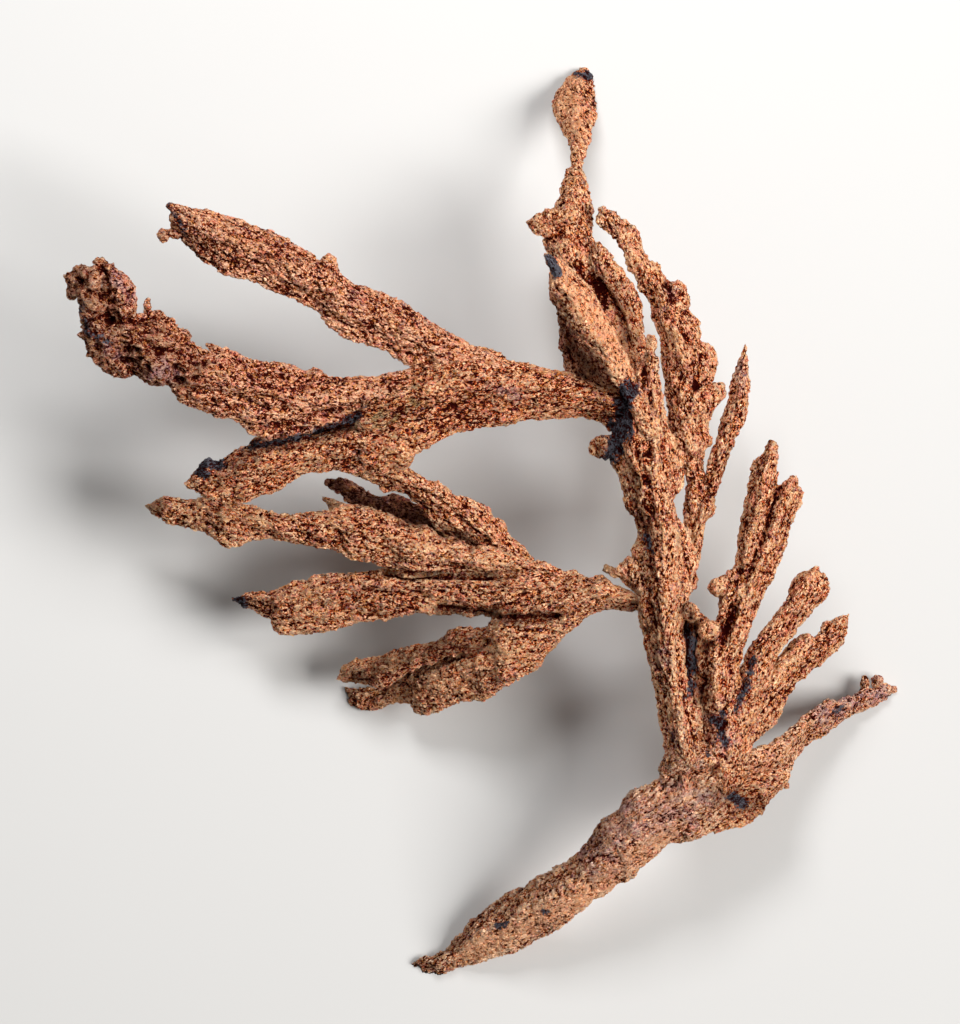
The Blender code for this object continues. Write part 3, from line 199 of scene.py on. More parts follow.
        lower=((65.8, 41.0), (64.9, 37.0), (64.3, 33.7), (64.2, 31.5), (64.0, 30.0), (63.7, 29.2),
               (63.1, 28.4), (62.6, 27.7), (62.0, 26.8), (61.3, 26.5), (61.0, 25.7), (60.5, 25.0),
               (60.0, 24.5)),
        z=(15.4, 15.4, 14.8, 14.0, 13.2), crest=0.42, top=0.36, under=0.36, roll=0.4),
    "column_knob": dict(
        upper=((56.8, 23.0), (55.4, 23.6), (54.2, 23.7), (53.3, 23.4), (52.8, 22.8), (52.8, 22.3)),
        lower=((56.8, 20.6), (55.4, 20.9), (54.5, 21.0), (53.7, 21.3), (53.2, 21.7), (52.9, 22.1)),
        z=(12.4, 12.4, 12.4), crest=0.5, top=0.4, under=0.4, roll=0.0),
    "spear": dict(
        upper=((56.0, 18.8), (56.4, 17.4), (57.0, 17.0), (57.1, 16.6), (57.1, 15.6), (57.0, 14.3),
               (56.6, 13.5), (56.0, 12.7), (55.4, 11.5), (55.2, 10.5), (55.5, 9.2), (56.2, 8.5),
               (56.6, 7.8), (57.0, 7.2), (57.8, 6.8)),
        lower=((58.6, 18.8), (58.4, 17.4), (58.2, 17.0), (58.2, 16.6), (58.4, 15.4), (58.7, 14.5),
               (59.1, 13.8), (59.2, 13.0), (59.6, 12.2), (59.7, 11.5), (59.8, 10.0), (59.5, 8.5),
               (59.2, 7.2), (58.8, 6.7)),
        z=(9.6, 8.0, 5.9, 3.4, 1.4, 0.2), crest=0.5, top=0.36, under=0.3, roll=0.0),
    "front_blade": dict(
        upper=((64.4, 43.6), (62.8, 40.5), (61.7, 38.5), (61.0, 37.5), (60.0, 36.2), (59.0, 35.0),
               (57.8, 33.5), (56.8, 32.5), (56.2, 31.5), (55.5, 30.0), (55.0, 28.0), (54.8, 27.0),
               (54.4, 26.2), (54.4, 25.8)),
        lower=((66.0, 42.0), (65.0, 40.6), (64.0, 39.0), (62.8, 36.5), (62.0, 34.5), (61.7, 34.0),
               (61.5, 33.0), (61.0, 32.2), (60.3, 31.2), (59.7, 30.0), (59.2, 29.1), (58.5, 28.4),
               (57.9, 28.1), (57.5, 28.0), (57.2, 27.2), (56.4, 26.3), (55.6, 25.9), (55.0, 25.6)),
        z=(18.4, 19.6, 20.8, 22.0, 23.0, 23.8), crest=0.4, top=0.3, under=0.42, roll=0.4),
    "side_blade": dict(
        upper=((60.5, 40.5), (58.5, 38.5), (56.6, 37.2), (56.2, 35.5), (55.8, 34.5), (55.9, 33.5),
               (55.7, 32.5), (55.8, 31.8), (55.4, 30.7), (55.1, 29.5), (54.9, 27.8)),
        lower=((63.5, 40.5), (62.0, 38.5), (60.4, 36.4), (59.0, 34.6), (58.0, 33.0), (57.2, 31.4),
               (56.4, 30.2), (55.8, 29.0), (55.3, 27.8)),
        z=(16.2, 16.0, 15.6, 15.4, 15.4), crest=0.55, top=0.4, under=0.4, roll=-1.2),
    "left_arm": dict(
        upper=((63.6, 38.6), (60.0, 38.3), (58.0, 37.8), (56.6, 37.4), (55.0, 37.0), (53.8, 36.6),
               (52.0, 36.1), (50.8, 35.9), (49.7, 35.2), (48.6, 34.7), (47.0, 34.4), (45.6, 34.6),
               (43.6, 35.4), (41.6, 36.4), (39.6, 37.2), (37.4, 37.8)),
        lower=((63.0, 44.2), (61.0, 43.3), (60.0, 42.4), (58.2, 41.9), (56.2, 41.8), (54.3, 41.8),
               (51.7, 42.0), (49.1, 42.6), (46.0, 43.1), (43.9, 44.0), (42.1, 45.1), (40.2, 45.5),
               (38.6, 46.0), (37.0, 46.4)),
        z=(16.4, 16.6, 16.8, 17.0, 17.0), crest=0.36,
        top=(0.40, 0.36, 0.28, 0.20, 0.17), under=(0.36, 0.32, 0.24, 0.18, 0.15), roll=0.6),
    "upper_left_blade": dict(
        upper=((50.0, 35.4), (47.2, 34.4), (45.8, 33.6), (44.4, 32.9), (43.0, 32.1), (41.8, 31.1),
               (40.4, 30.1), (39.5, 29.9), (38.5, 29.2), (37.0, 28.8), (35.6, 28.4), (34.6, 27.9),
               (33.9, 27.3), (33.6, 26.3), (33.3, 25.8), (32.6, 25.8), (32.0, 26.3), (31.0, 25.4),
               (30.0, 24.7), (29.1, 24.1), (28.0, 23.6), (26.6, 23.0), (25.4, 22.7), (24.1, 22.0),
               (22.8, 21.7), (21.4, 21.3), (20.5, 21.0), (19.5, 21.0), (18.4, 20.9), (17.8, 21.2)),
        lower=((48.0, 38.0), (45.4, 37.6), (43.0, 37.1), (41.0, 36.6), (39.3, 35.8), (38.7, 35.0),
               (37.5, 34.8), (36.0, 34.4), (34.8, 34.0), (34.0, 33.3), (33.0, 32.6), (31.8, 31.2),
               (30.8, 30.6), (29.9, 30.2), (28.5, 29.7), (27.0, 29.1), (25.8, 28.4), (24.9, 28.1),
               (23.5, 27.6), (22.2, 27.2), (20.9, 26.6), (19.9, 26.0), (19.3, 25.1), (18.8, 24.9),
               (18.4, 24.2), (18.0, 23.4)),
        z=(17.2, 17.8, 18.6, 19.4, 20.0, 20.4), crest=0.4, top=0.28, under=0.26, roll=0.6),
    "curl_blade": dict(
        upper=((43.0, 37.2), (41.0, 36.9), (40.0, 37.0), (38.7, 37.3), (37.0, 37.6), (35.4, 37.7),
               (34.1, 37.8), (33.0, 37.7), (31.7, 36.9), (30.4, 37.1), (29.1, 36.4), (27.5, 36.1),
               (26.0, 36.2), (25.0, 35.8), (24.1, 35.4), (22.8, 34.7), (22.2, 34.8), (21.5, 35.0),
               (20.7, 35.0), (20.3, 34.8), (19.2, 34.3), (18.4, 33.2), (17.8, 32.4), (17.4, 31.7),
               (16.6, 31.5), (16.1, 31.2), (15.0, 31.2), (14.2, 31.5), (13.4, 31.4)),
        lower=((43.0, 42.0), (40.0, 41.6), (36.5, 41.8), (34.5, 42.4), (33.2, 42.6), (30.0, 43.2),
               (28.2, 43.8), (26.2, 43.9), (25.5, 43.6), (24.7, 43.1), (24.1, 42.4), (23.3, 41.9),
               (21.7, 41.8), (20.8, 41.4), (19.8, 41.0), (19.0, 40.7), (18.4, 40.4), (17.8, 39.8),
               (17.6, 39.2), (16.8, 38.6), (16.0, 38.4), (14.6, 38.3), (14.2, 37.8), (13.8, 37.5),
               (12.5, 37.2), (11.5, 36.9), (10.3, 36.3), (9.3, 36.1)),
        z=(17.0, 17.4, 18.0, 18.8, 19.8, 21.0, 22.4), crest=0.4, top=0.28, under=0.26, roll=0.6),
    "curl_left": dict(
        upper=((10.6, 37.0), (9.3, 36.2), (9.1, 35.3), (8.8, 34.8), (8.2, 33.7), (8.8, 32.7),
               (8.2, 31.6), (8.6, 30.2), (8.2, 29.2), (8.0, 28.4), (7.9, 27.2)),
        lower=((13.4, 36.6), (12.4, 34.4), (11.6, 32.6), (11.2, 30.8), (11.0, 29.6), (10.3, 28.9),
               (10.1, 28.2), (10.3, 27.5), (11.0, 27.0), (10.6, 26.5), (9.4, 26.6), (8.6, 26.9)),
        z=(21.6, 22.6, 23.6, 24.2, 24.4), crest=0.5, top=0.44, under=0.4, roll=0.0),
    "curl_right": dict(
        upper=((12.6, 36.8), (11.6, 34.4), (11.0, 32.4), (10.6, 30.8), (10.5, 29.6), (10.7, 28.6),
               (10.6, 27.8), (10.1, 27.2), (10.0, 26.6)),
        lower=((17.6, 36.2), (15.6, 34.2), (14.4, 33.0), (13.7, 31.6), (13.9, 30.2), (13.7, 29.0),
               (13.1, 28.0), (12.4, 27.3), (11.6, 26.9), (11.0, 26.6)),
        z=(21.6, 22.6, 23.6, 24.2, 24.2), crest=0.55, top=0.44, under=0.4, roll=0.0),
    "curl_hook": dict(
        upper=((9.4, 26.6), (8.4, 26.8), (7.6, 27.0), (6.9, 27.5), (6.9, 28.5), (7.1, 29.4)),
        lower=((9.2, 28.8), (8.6, 28.5), (8.0, 28.4), (7.8, 28.8), (7.6, 29.2), (7.4, 29.5)),
        z=(24.0, 23.8, 23.4), crest=0.5, top=0.45, under=0.45, roll=0.0),
    "middle_left_blade": dict(
        upper=((40.6, 44.2), (39.0, 43.0), (37.0, 42.4), (34.5, 42.8), (32.0, 43.2), (30.0, 43.6),
               (28.2, 44.0), (25.9, 44.0), (25.2, 44.3), (24.4, 44.6), (23.3, 44.9), (22.6, 45.6),
               (21.5, 46.1), (20.6, 45.6), (20.1, 46.2), (19.5, 47.0), (19.0, 47.5), (18.8, 48.0)),
        lower=((39.4, 47.2), (38.6, 47.4), (37.6, 47.4), (36.0, 47.2), (33.6, 47.0), (32.0, 47.3),
               (30.5, 47.3), (29.4, 47.9), (28.7, 48.5), (27.9, 49.0), (26.3, 49.4), (25.2, 49.8),
               (24.4, 50.1), (23.0, 50.2), (21.7, 50.0), (20.7, 49.7), (19.9, 49.4), (19.4, 48.8)),
        z=(16.2, 16.0, 15.6, 15.2, 14.8), crest=0.3, top=0.3, under=0.28, roll=0.8),
    "crack_web": dict(
        upper=((25.4, 43.8), (28.0, 43.0), (30.5, 42.4), (33.5, 41.4), (36.8, 40.8)),
        lower=((25.6, 45.4), (28.0, 45.0), (30.5, 44.6), (33.5, 44.0), (36.8, 43.6)),
        z=(13.6, 13.8, 14.0, 14.2), crest=0.5, top=0.20, under=0.30, roll=0.0),
    "cross_blade": dict(
        upper=((38.8, 44.6), (40.2, 45.7), (41.0, 46.8), (41.8, 47.5), (42.6, 48.2), (43.6, 48.4),
               (44.2, 48.7), (45.1, 49.4), (46.2, 49.7), (47.3, 49.9), (48.4, 50.4), (49.0, 51.0),
               (49.3, 51.6), (50.0, 51.8), (50.5, 52.4), (50.8, 53.4), (51.5, 54.1), (52.3, 54.7),
               (53.0, 55.5), (54.5, 56.8)),
        lower=((34.5, 47.0), (36.0, 47.6), (37.2, 48.2), (38.5, 49.0), (40.0, 49.2), (41.2, 49.9),
               (42.4, 51.0), (43.4, 52.4), (44.6, 53.8), (46.0, 54.8), (47.8, 55.6), (49.8, 56.6),
               (51.4, 57.6)),
        z=(15.4, 14.0, 12.4, 10.8, 9.6, 9.2), crest=0.35, top=0.3, under=0.28, roll=0.8),
    "under_blade": dict(
        upper=((45.0, 52.2), (42.6, 51.0), (40.6, 49.7), (39.0, 49.2), (38.0, 49.4), (37.2, 49.4),
               (36.1, 48.7), (34.8, 48.1), (33.8, 47.8), (32.7, 48.0)),
        lower=((45.0, 55.0), (42.0, 53.8), (40.0, 52.6), (38.0, 51.8), (36.4, 51.4), (35.0, 50.4),
               (34.2, 49.7), (33.4, 49.0), (32.8, 48.4)),
        z=(9.6, 8.6, 7.8, 7.2, 6.8), crest=0.4, top=0.3, under=0.3, roll=0.0),
    "under_point": dict(
        upper=((37.0, 51.2), (34.8, 50.4), (33.6, 49.9), (32.4, 49.7)),
        lower=((36.0, 52.6), (34.4, 51.8), (33.0, 51.2), (32.4, 50.2)),
        z=(10.8, 9.6, 8.8), crest=0.5, top=0.4, under=0.4, roll=0.0),
    "lower_arm": dict(
        upper=((64.4, 59.4), (63.2, 59.1), (62.2, 58.7), (61.2, 58.2), (60.3, 57.6), (59.8, 57.3),
               (59.0, 57.6), (58.0, 57.2), (57.3, 57.0), (56.2, 56.8), (55.1, 56.6), (54.2, 56.2),
               (53.2, 56.0), (52.0, 55.7), (50.8, 55.4)),
        lower=((64.4, 61.0), (63.0, 60.9), (61.7, 60.9), (60.6, 61.0), (59.5, 61.3), (58.4, 61.8),
               (57.8, 62.5), (56.6, 63.2), (55.8, 64.0), (55.0, 64.8), (54.5, 65.5), (54.0, 66.4),
               (53.4, 67.1), (52.5, 67.4), (51.6, 68.0), (50.6, 68.6)),
        z=(14.4, 13.6, 12.8, 11.9, 11.0), crest=0.45,
        top=(0.62, 0.50, 0.28, 0.16, 0.12), under=(0.60, 0.46, 0.24, 0.14, 0.11), roll=0.6),
    "finger_top": dict(
        upper=((56.0, 56.8), (54.5, 56.2), (53.2, 56.0), (51.8, 55.5), (50.5, 55.1), (48.7, 54.7),
               (46.7, 54.7), (45.9, 53.8), (43.9, 53.6), (43.0, 52.7), (41.6, 52.4), (40.3, 52.2),
               (39.5, 51.5), (38.0, 51.1), (36.5, 50.6), (34.5, 50.3), (33.5, 50.7), (32.2, 50.9),
               (30.5, 51.1), (28.7, 51.4), (27.3, 51.2), (26.0, 50.8), (25.0, 50.4), (24.1, 50.2),
               (23.0, 49.9), (21.9, 49.9), (20.0, 49.7), (18.5, 49.8), (17.2, 49.7), (16.1, 49.7),
               (15.4, 50.1), (14.7, 50.4)),
        lower=((56.0, 59.0), (53.0, 57.8), (51.0, 57.3), (48.7, 57.5), (46.5, 57.3), (45.1, 57.2),
               (43.0, 57.5), (40.7, 57.7), (39.5, 57.2), (38.5, 56.9), (37.8, 56.6), (37.0, 56.1),
               (35.8, 56.0), (34.8, 55.8), (34.0, 55.2), (33.3, 54.9), (31.5, 54.7), (30.0, 54.4),
               (28.7, 54.3), (27.7, 54.0), (26.7, 53.8), (25.5, 53.9), (24.5, 54.1), (23.5, 54.5),
               (22.6, 54.6), (21.9, 54.4), (21.5, 53.8), (20.9, 53.1), (20.4, 52.8), (18.5, 52.6),
               (16.7, 52.4), (16.0, 51.9), (15.5, 51.4), (15.0, 50.8)),
        z=(12.4, 12.4, 12.0, 11.4, 10.6, 9.8, 9.0), crest=0.35, top=0.28, under=0.26, roll=0.8),
    "finger_middle": dict(
        upper=((56.0, 57.4), (53.0, 57.0), (51.0, 56.8), (48.7, 57.0), (46.5, 56.9), (45.1, 56.9),
               (43.0, 57.0), (40.7, 57.2), (39.5, 57.0), (38.5, 56.9), (37.5, 57.1), (36.0, 57.2),
               (34.4, 57.3), (33.0, 57.3), (31.5, 57.5), (30.5, 57.9), (29.6, 58.0), (28.7, 58.5),
               (27.8, 58.8), (26.5, 59.1), (25.2, 59.1), (24.5, 59.2), (23.8, 59.3), (23.4, 59.7)),
        lower=((56.0, 62.0), (54.1, 61.6), (52.5, 61.5), (50.5, 61.6), (48.9, 61.6), (47.8, 61.5),
               (46.7, 61.7), (45.5, 61.4), (43.3, 61.2), (41.8, 61.2), (40.2, 61.4), (39.0, 61.8),
               (37.5, 62.0), (36.1, 62.1), (35.0, 62.3), (34.3, 62.6), (33.3, 63.0), (32.4, 63.2),
               (30.5, 63.4), (28.9, 63.4), (28.0, 63.3), (27.4, 62.9), (27.1, 62.0), (26.2, 61.5),
               (25.2, 60.9), (24.1, 60.9), (23.8, 60.3)),
        z=(11.8, 11.4, 10.6, 9.4, 8.2, 7.0, 6.2), crest=0.25, top=0.3, under=0.28, roll=1.0),
    "finger_bottom": dict(
        upper=((56.5, 62.0), (54.5, 62.5), (53.0, 62.1), (51.5, 61.8), (50.5, 61.9), (49.3, 62.2),
               (48.7, 63.4), (47.0, 64.0), (45.0, 64.8), (43.0, 65.5), (40.5, 66.5), (39.4, 67.6),
               (38.5, 68.8), (37.0, 68.8), (35.5, 68.9), (34.6, 68.8)),
        lower=((56.0, 64.0), (55.2, 64.8), (54.5, 65.5), (53.7, 66.8), (53.0, 67.3), (52.2, 67.5),
               (51.0, 68.4), (50.0, 69.0), (49.0, 69.7), (48.3, 69.9), (46.8, 70.0), (45.4, 70.3),
               (44.0, 71.0), (42.8, 71.4), (42.0, 71.5), (41.4, 71.3), (41.0, 70.7), (40.5, 70.3),
               (39.7, 70.2), (39.0, 70.4), (38.3, 70.9), (37.6, 71.2), (36.7, 71.2), (35.9, 71.2),
               (35.2, 70.8), (34.7, 70.3), (34.6, 69.5)),
        z=(11.2, 10.6, 9.0, 6.6, 3.9, 1.3, 0.1), crest=0.35, top=0.28, under=0.26, roll=0.8),
    "finger_bottom_upper": dict(
        upper=((54.0, 62.1), (51.5, 61.8), (50.0, 61.7), (49.3, 61.9), (48.7, 62.7), (47.0, 62.8),
               (45.0, 62.9), (44.6, 63.6), (43.5, 64.0), (42.2, 64.3), (40.5, 64.8), (38.9, 65.0),
               (38.0, 65.5), (36.3, 65.8), (35.0, 66.1), (34.2, 66.4), (33.8, 67.5)),
        lower=((53.0, 64.0), (50.0, 64.5), (48.0, 65.0), (45.0, 65.6), (43.0, 66.3), (41.0, 67.1),
               (39.5, 68.0), (38.5, 68.7), (37.2, 68.7), (36.0, 68.3), (35.0, 68.1), (34.3, 68.2),
               (33.8, 67.9)),
        z=(10.8, 10.0, 8.8, 7.2, 5.4, 3.6), crest=0.4, top=0.34, under=0.3, roll=0.4),
}

# Lumps: plan place, height of the middle, half width, half length, half height, and turn
# in plan in degrees.
LUMPS = {
    "trunk_nub": ((60.2, 44.6), 16.4, 1.35, 1.0, 1.0, 20),
    "trunk_side_nub": ((69.0, 61.2), 15.0, 0.8, 0.95, 0.9, 0),
    "trunk_top_nub": ((65.0, 34.2), 17.8, 0.5, 0.7, 0.7, 0),
    "fan_lump": ((70.9, 62.9), 15.4, 1.1, 1.0, 1.1, 0),
    "fan_ball": ((71.7, 58.6), 15.2, 0.85, 0.8, 0.8, 0),
    "fan_ball_stalk": ((72.5, 58.0), 15.0, 0.8, 0.45, 0.5, 25),
    "branch_nub_near": ((86.6, 68.5), 1.7, 0.42, 0.95, 0.55, 0),
    "branch_nub_far": ((87.9, 68.2), 1.3, 0.55, 0.6, 0.55, 0),
    "blade_nub": ((32.9, 26.2), 19.6, 0.7, 0.7, 0.7, 0),
    "blade_knob": ((16.4, 23.6), 20.2, 0.6, 0.75, 0.6, 0),
    "blade_knob_stalk": ((17.4, 23.4), 20.2, 1.0, 0.4, 0.4, -8),
    "blade_spike_high": ((17.9, 21.1), 20.4, 1.15, 0.32, 0.34, -24),
    "blade_spike_low": ((17.7, 22.0), 20.3, 0.7, 0.35, 0.35, -20),
    "curl_spike": ((14.9, 31.0), 21.9, 0.3, 1.1, 0.34, 0),
    "curl_bump_left": ((15.9, 31.6), 21.6, 0.55, 0.6, 0.6, 0),
    "curl_bump_right": ((18.2, 33.6), 20.8, 0.75, 0.6, 0.7, -35),
    "curl_thorn": ((21.5, 34.8), 20.0, 0.95, 0.28, 0.3, -24),
}

# ------------------------------------------------------------------------- branches
# Each branch is one piece: the blades and lumps it grows from, and run, the way that its
# folds and flakes run in plan (degrees from +X). Where it differs from the usual skin it
# also has its finish (slot), the depth and pitch of its lengthwise ribs (ribs), the height
# of its folds and of its crumbs in millimetres, and lift, which is how much brighter (above
# 0) or darker (below 0) the whole branch is.
RIBS = (0.22, 1.25)
FINE_RIBS = (0.14, 0.9)     # the usual ones
NO_RIBS = (0.0, 1.0)
BRANCHES = {
    "trunk": dict(blades=("trunk", "trunk_rib", "trunk_spur"),
                  lumps=("trunk_nub", "trunk_side_nub", "trunk_top_nub"), run=97,
                  ribs=(0.34, 1.15), folds=0.26, lift=0.07),
    "base_spike": dict(blades=("base_spike", "base_lump"), slot="tarnished_copper", run=35,
                       lift=0.07),
    "base_ledge": dict(blades=("base_ledge",), run=15),
    "low_branch": dict(blades=("low_branch",), lumps=("branch_nub_near", "branch_nub_far"),
                       slot="tarnished_copper", run=35, lift=-0.04),
    "fan_tall_blade": dict(blades=("fan_tall_left", "fan_tall_right", "fan_web"),
                           lumps=("fan_ball", "fan_ball_stalk", "fan_lump"), run=75, ribs=RIBS),
    "fan_middle_blade": dict(blades=("fan_middle",), run=60),
    "fan_outer_blade": dict(blades=("fan_outer",), run=50),
    "right_column": dict(blades=("right_column",), run=110, ribs=RIBS),
    "needle": dict(blades=("needle",), run=75),
    "top_column": dict(blades=("top_column", "column_flank", "column_knob", "spear"), run=110),
    "front_blade": dict(blades=("front_blade",), run=125, ribs=NO_RIBS, lift=0.06),
    "left_arm": dict(blades=("left_arm",), run=8, lift=-0.06),
    "side_blade": dict(blades=("side_blade",), slot="brown_copper", run=110),
    "upper_left_blade": dict(blades=("upper_left_blade",),
                             lumps=("blade_nub", "blade_knob", "blade_knob_stalk",
                                    "blade_spike_high", "blade_spike_low"),
                             slot="brown_copper", run=155, crumbs=0.45),
    "curl_blade": dict(blades=("curl_blade", "curl_left", "curl_right", "curl_hook"),
                       lumps=("curl_spike", "curl_bump_left", "curl_bump_right", "curl_thorn"),
                       slot="brown_copper", run=172, crumbs=0.75, lift=-0.02),
    "middle_left_blade": dict(blades=("middle_left_blade", "crack_web"), run=12, lift=-0.05),
    "cross_blade": dict(blades=("cross_blade",), run=140, lift=-0.04),
    # painted shade: the under blade gets the darker copy of the copper, since it lies in shade
    "under_blade": dict(blades=("under_blade",), slot="dark_copper", run=160, ribs=NO_RIBS),
    "lower_arm": dict(blades=("lower_arm",), run=10, lift=0.07),
    "finger_top": dict(blades=("finger_top", "under_point"), run=170, lift=0.04),
    "finger_middle": dict(blades=("finger_middle",), run=5, lift=0.06),
    "finger_bottom": dict(blades=("finger_bottom",), run=20, lift=0.05),
    "finger_bottom_upper": dict(blades=("finger_bottom_upper",), run=15),
}

# Lines and spots in plan on the sheet, each with its half width and its strength. A crease
# is carved in from above by its strength in millimetres, and the others mark the finish.

# Cracks where two blades have grown together, and furrows along the trunk and the front blade.
CREASES = (
    (((64.6, 45.4), (64.6, 48.3)), 0.30, 0.6),
    (((24.0, 43.2), (30.0, 42.0), (36.0, 40.4)), 0.40, 0.5),
    (((38.5, 57.2), (44.0, 57.5), (51.4, 57.4)), 0.28, 0.8),
    (((73.8, 57.0), (73.2, 60.0), (72.2, 64.0)), 0.40, 0.5),
    (((68.9, 62.0), (69.0, 66.0), (69.2, 70.0)), 0.45, 0.7),
    (((61.8, 44.8), (63.4, 50.0), (65.0, 57.0), (66.2, 66.0), (67.2, 74.0)), 0.50, 0.35),
    (((57.6, 26.4), (59.9, 28.6), (61.8, 31.6), (62.9, 34.4)), 0.45, 0.8),
    (((56.4, 17.1), (58.0, 17.2)), 0.25, 0.4),
    (((55.6, 9.0), (56.6, 8.4), (57.8, 8.8), (58.6, 9.2)), 0.20, 0.25),
    (((67.2, 32.0), (68.8, 34.0)), 0.40, 0.6),
    (((70.2, 35.5), (69.6, 38.5)), 0.35, 0.5),
    (((66.6, 28.4), (67.4, 30.0)), 0.35, 0.4),
    (((44.0, 60.9), (50.0, 61.7), (55.5, 61.8)), 0.40, 0.8),
    (((9.6, 31.6), (12.2, 32.2), (15.0, 31.6)), 0.50, 0.7),
    (((10.4, 26.8), (10.6, 29.6)), 0.45, 0.6),
)
# Black crust: the patch at the top fork, the blades' tips, spots on the fan and the spike.
BLACK_MARKS = (
    (((62.7, 39.4), (62.3, 41.5), (61.7, 43.5), (61.0, 45.4)), 1.15, 1.0),
    (((64.4, 53.6), (64.8, 55.4)), 0.35, 0.8),
    (((71.8, 72.0), (72.2, 73.8)), 0.85, 0.8),
    (((69.0, 62.8), (69.3, 66.0), (69.0, 69.5)), 0.45, 0.75),
    (((70.6, 75.6),), 0.5, 0.8),
    (((73.0, 79.6), (74.4, 80.3)), 0.6, 0.9),
    (((83.6, 71.2), (84.1, 70.9)), 0.4, 0.7),
    (((49.8, 92.6), (50.6, 92.3)), 0.35, 0.7),
    (((54.5, 91.2),), 0.4, 0.7),
    (((47.0, 93.8),), 0.4, 0.6),
    (((54.8, 25.8), (55.6, 27.4)), 0.5, 0.9),
    (((57.6, 7.0), (58.9, 7.3)), 0.5, 0.85),
    (((19.8, 47.2), (20.6, 46.2), (22.0, 46.2)), 0.8, 0.9),
    (((24.5, 44.4), (28.5, 44.2), (32.0, 42.9), (36.0, 41.6)), 0.50, 0.7),
    (((23.6, 59.9), (24.3, 60.6)), 0.5, 0.9),
    (((73.6, 71.0), (74.6, 68.0), (75.2, 66.0)), 0.5, 0.6),
    (((8.4, 30.5), (9.2, 33.0), (11.0, 34.5)), 0.5, 0.5),
    (((17.0, 21.0), (18.5, 23.0)), 0.4, 0.5),
)
# Thin violet tarnish, most of it at the root of the spike and the tip of the low branch.
VIOLET_MARKS = (
    (((60.0, 85.0), (64.5, 81.5), (69.0, 80.0)), 2.6, 0.75),
    (((66.4, 65.0), (66.6, 66.2)), 0.7, 0.7),
    (((67.4, 73.2), (67.6, 74.4)), 0.8, 0.7),
    (((82.5, 71.6), (85.5, 70.4), (88.0, 69.0)), 1.3, 0.9),
    (((73.9, 36.5), (74.1, 39.0)), 0.8, 0.7),
    (((67.2, 29.2),), 0.9, 0.6),
    (((11.2, 35.0),), 1.0, 0.8),
    (((11.8, 27.6), (13.2, 29.6)), 0.9, 0.9),
    (((15.6, 37.0), (17.0, 37.6)), 0.9, 0.7),
    (((36.0, 29.7),), 0.8, 0.6),
    (((35.5, 45.0),), 0.8, 0.6),
    (((49.0, 38.5), (52.0, 39.7)), 0.6, 0.7),
    (((43.5, 32.0),), 0.8, 0.6),
    (((71.6, 71.6), (72.4, 74.4)), 1.3, 0.6),
    (((33.0, 35.0), (38.0, 36.4)), 0.5, 0.5),
)
# Green tarnish on the arm and at two forks.
GREEN_MARKS = (
    (((37.0, 42.2), (40.0, 41.2), (42.0, 40.6)), 1.5, 0.8),
    (((58.3, 41.0),), 0.8, 0.7),
    (((64.5, 47.5),), 0.8, 0.6),
)
# Pale faces, whose relief is also smoothed: the front blade, the spear; along the lower side of the
# spike the pale is painted light.
PALE_AND_PAINTED_LIGHT_MARKS = (
    (((55.6, 27.4), (58.4, 30.6), (61.0, 34.0), (62.4, 37.0)), 1.3, 0.8),
    (((57.3, 8.5), (57.4, 12.5)), 2.0, 0.9),
    (((71.0, 62.8),), 0.9, 0.6),
    (((47.0, 95.4), (52.5, 92.6), (57.5, 90.0), (63.0, 86.2), (67.0, 82.8)), 1.3, 1.0),
    (((66.3, 52.0), (67.6, 58.0)), 1.8, 0.25),
    (((62.0, 82.4), (68.5, 79.0)), 2.0, 0.6),
    (((75.0, 77.6), (79.0, 75.0), (84.0, 71.0)), 1.1, 0.2),
    (((22.0, 23.2), (27.0, 26.4)), 1.4, 0.35),
    (((37.0, 70.2), (44.0, 68.8), (50.0, 65.6)), 1.1, 0.4),
)
# Dark brown over the curl, and painted shade in the clefts between blades and on the sides that
# face away.
BROWN_AND_PAINTED_SHADE_MARKS = (
    (((8.2, 28.0), (9.6, 33.0), (14.0, 35.0), (18.0, 37.0)), 3.6, 0.6),
    (((60.0, 44.8),), 0.9, 0.7),
    (((55.4, 31.0), (57.2, 34.4), (59.8, 37.8)), 1.6, 0.9),
    (((59.4, 27.0), (62.2, 30.6), (63.2, 34.0)), 1.1, 0.6),
    (((33.3, 48.3), (37.0, 50.4), (43.3, 52.7), (47.0, 54.0)), 1.0, 1.0),
    (((68.0, 76.0),), 2.2, 0.4),
    (((17.0, 22.5), (21.0, 25.0)), 1.8, 0.4),
    (((35.4, 67.9), (41.2, 65.4), (47.5, 63.6)), 1.3, 0.85),
    (((22.4, 46.7), (26.5, 44.9), (36.0, 42.6)), 0.9, 0.75),
    (((68.8, 62.0), (68.4, 61.0)), 1.0, 0.7),
    (((44.0, 60.9), (50.0, 61.7), (55.5, 61.8)), 0.8, 1.0),
    (((38.6, 57.2), (44.0, 57.5), (51.0, 57.6)), 0.5, 0.8),
    (((63.2, 47.0), (64.6, 56.0), (66.0, 66.0)), 0.7, 0.6),
    (((63.8, 60.0),), 1.4, 0.5),
    (((41.6, 96.8), (45.0, 94.8)), 1.3, 0.6),
    (((46.5, 92.7), (53.5, 88.2), (58.5, 84.2), (62.5, 79.6)), 0.9, 0.45),
    (((71.0, 79.0), (75.6, 80.4)), 1.7, 0.7),
    (((69.4, 64.0), (70.6, 73.0)), 0.8, 0.6),
    (((60.6, 57.0),), 0.9, 0.9),
    (((15.4, 50.6),), 1.2, 0.6),
)
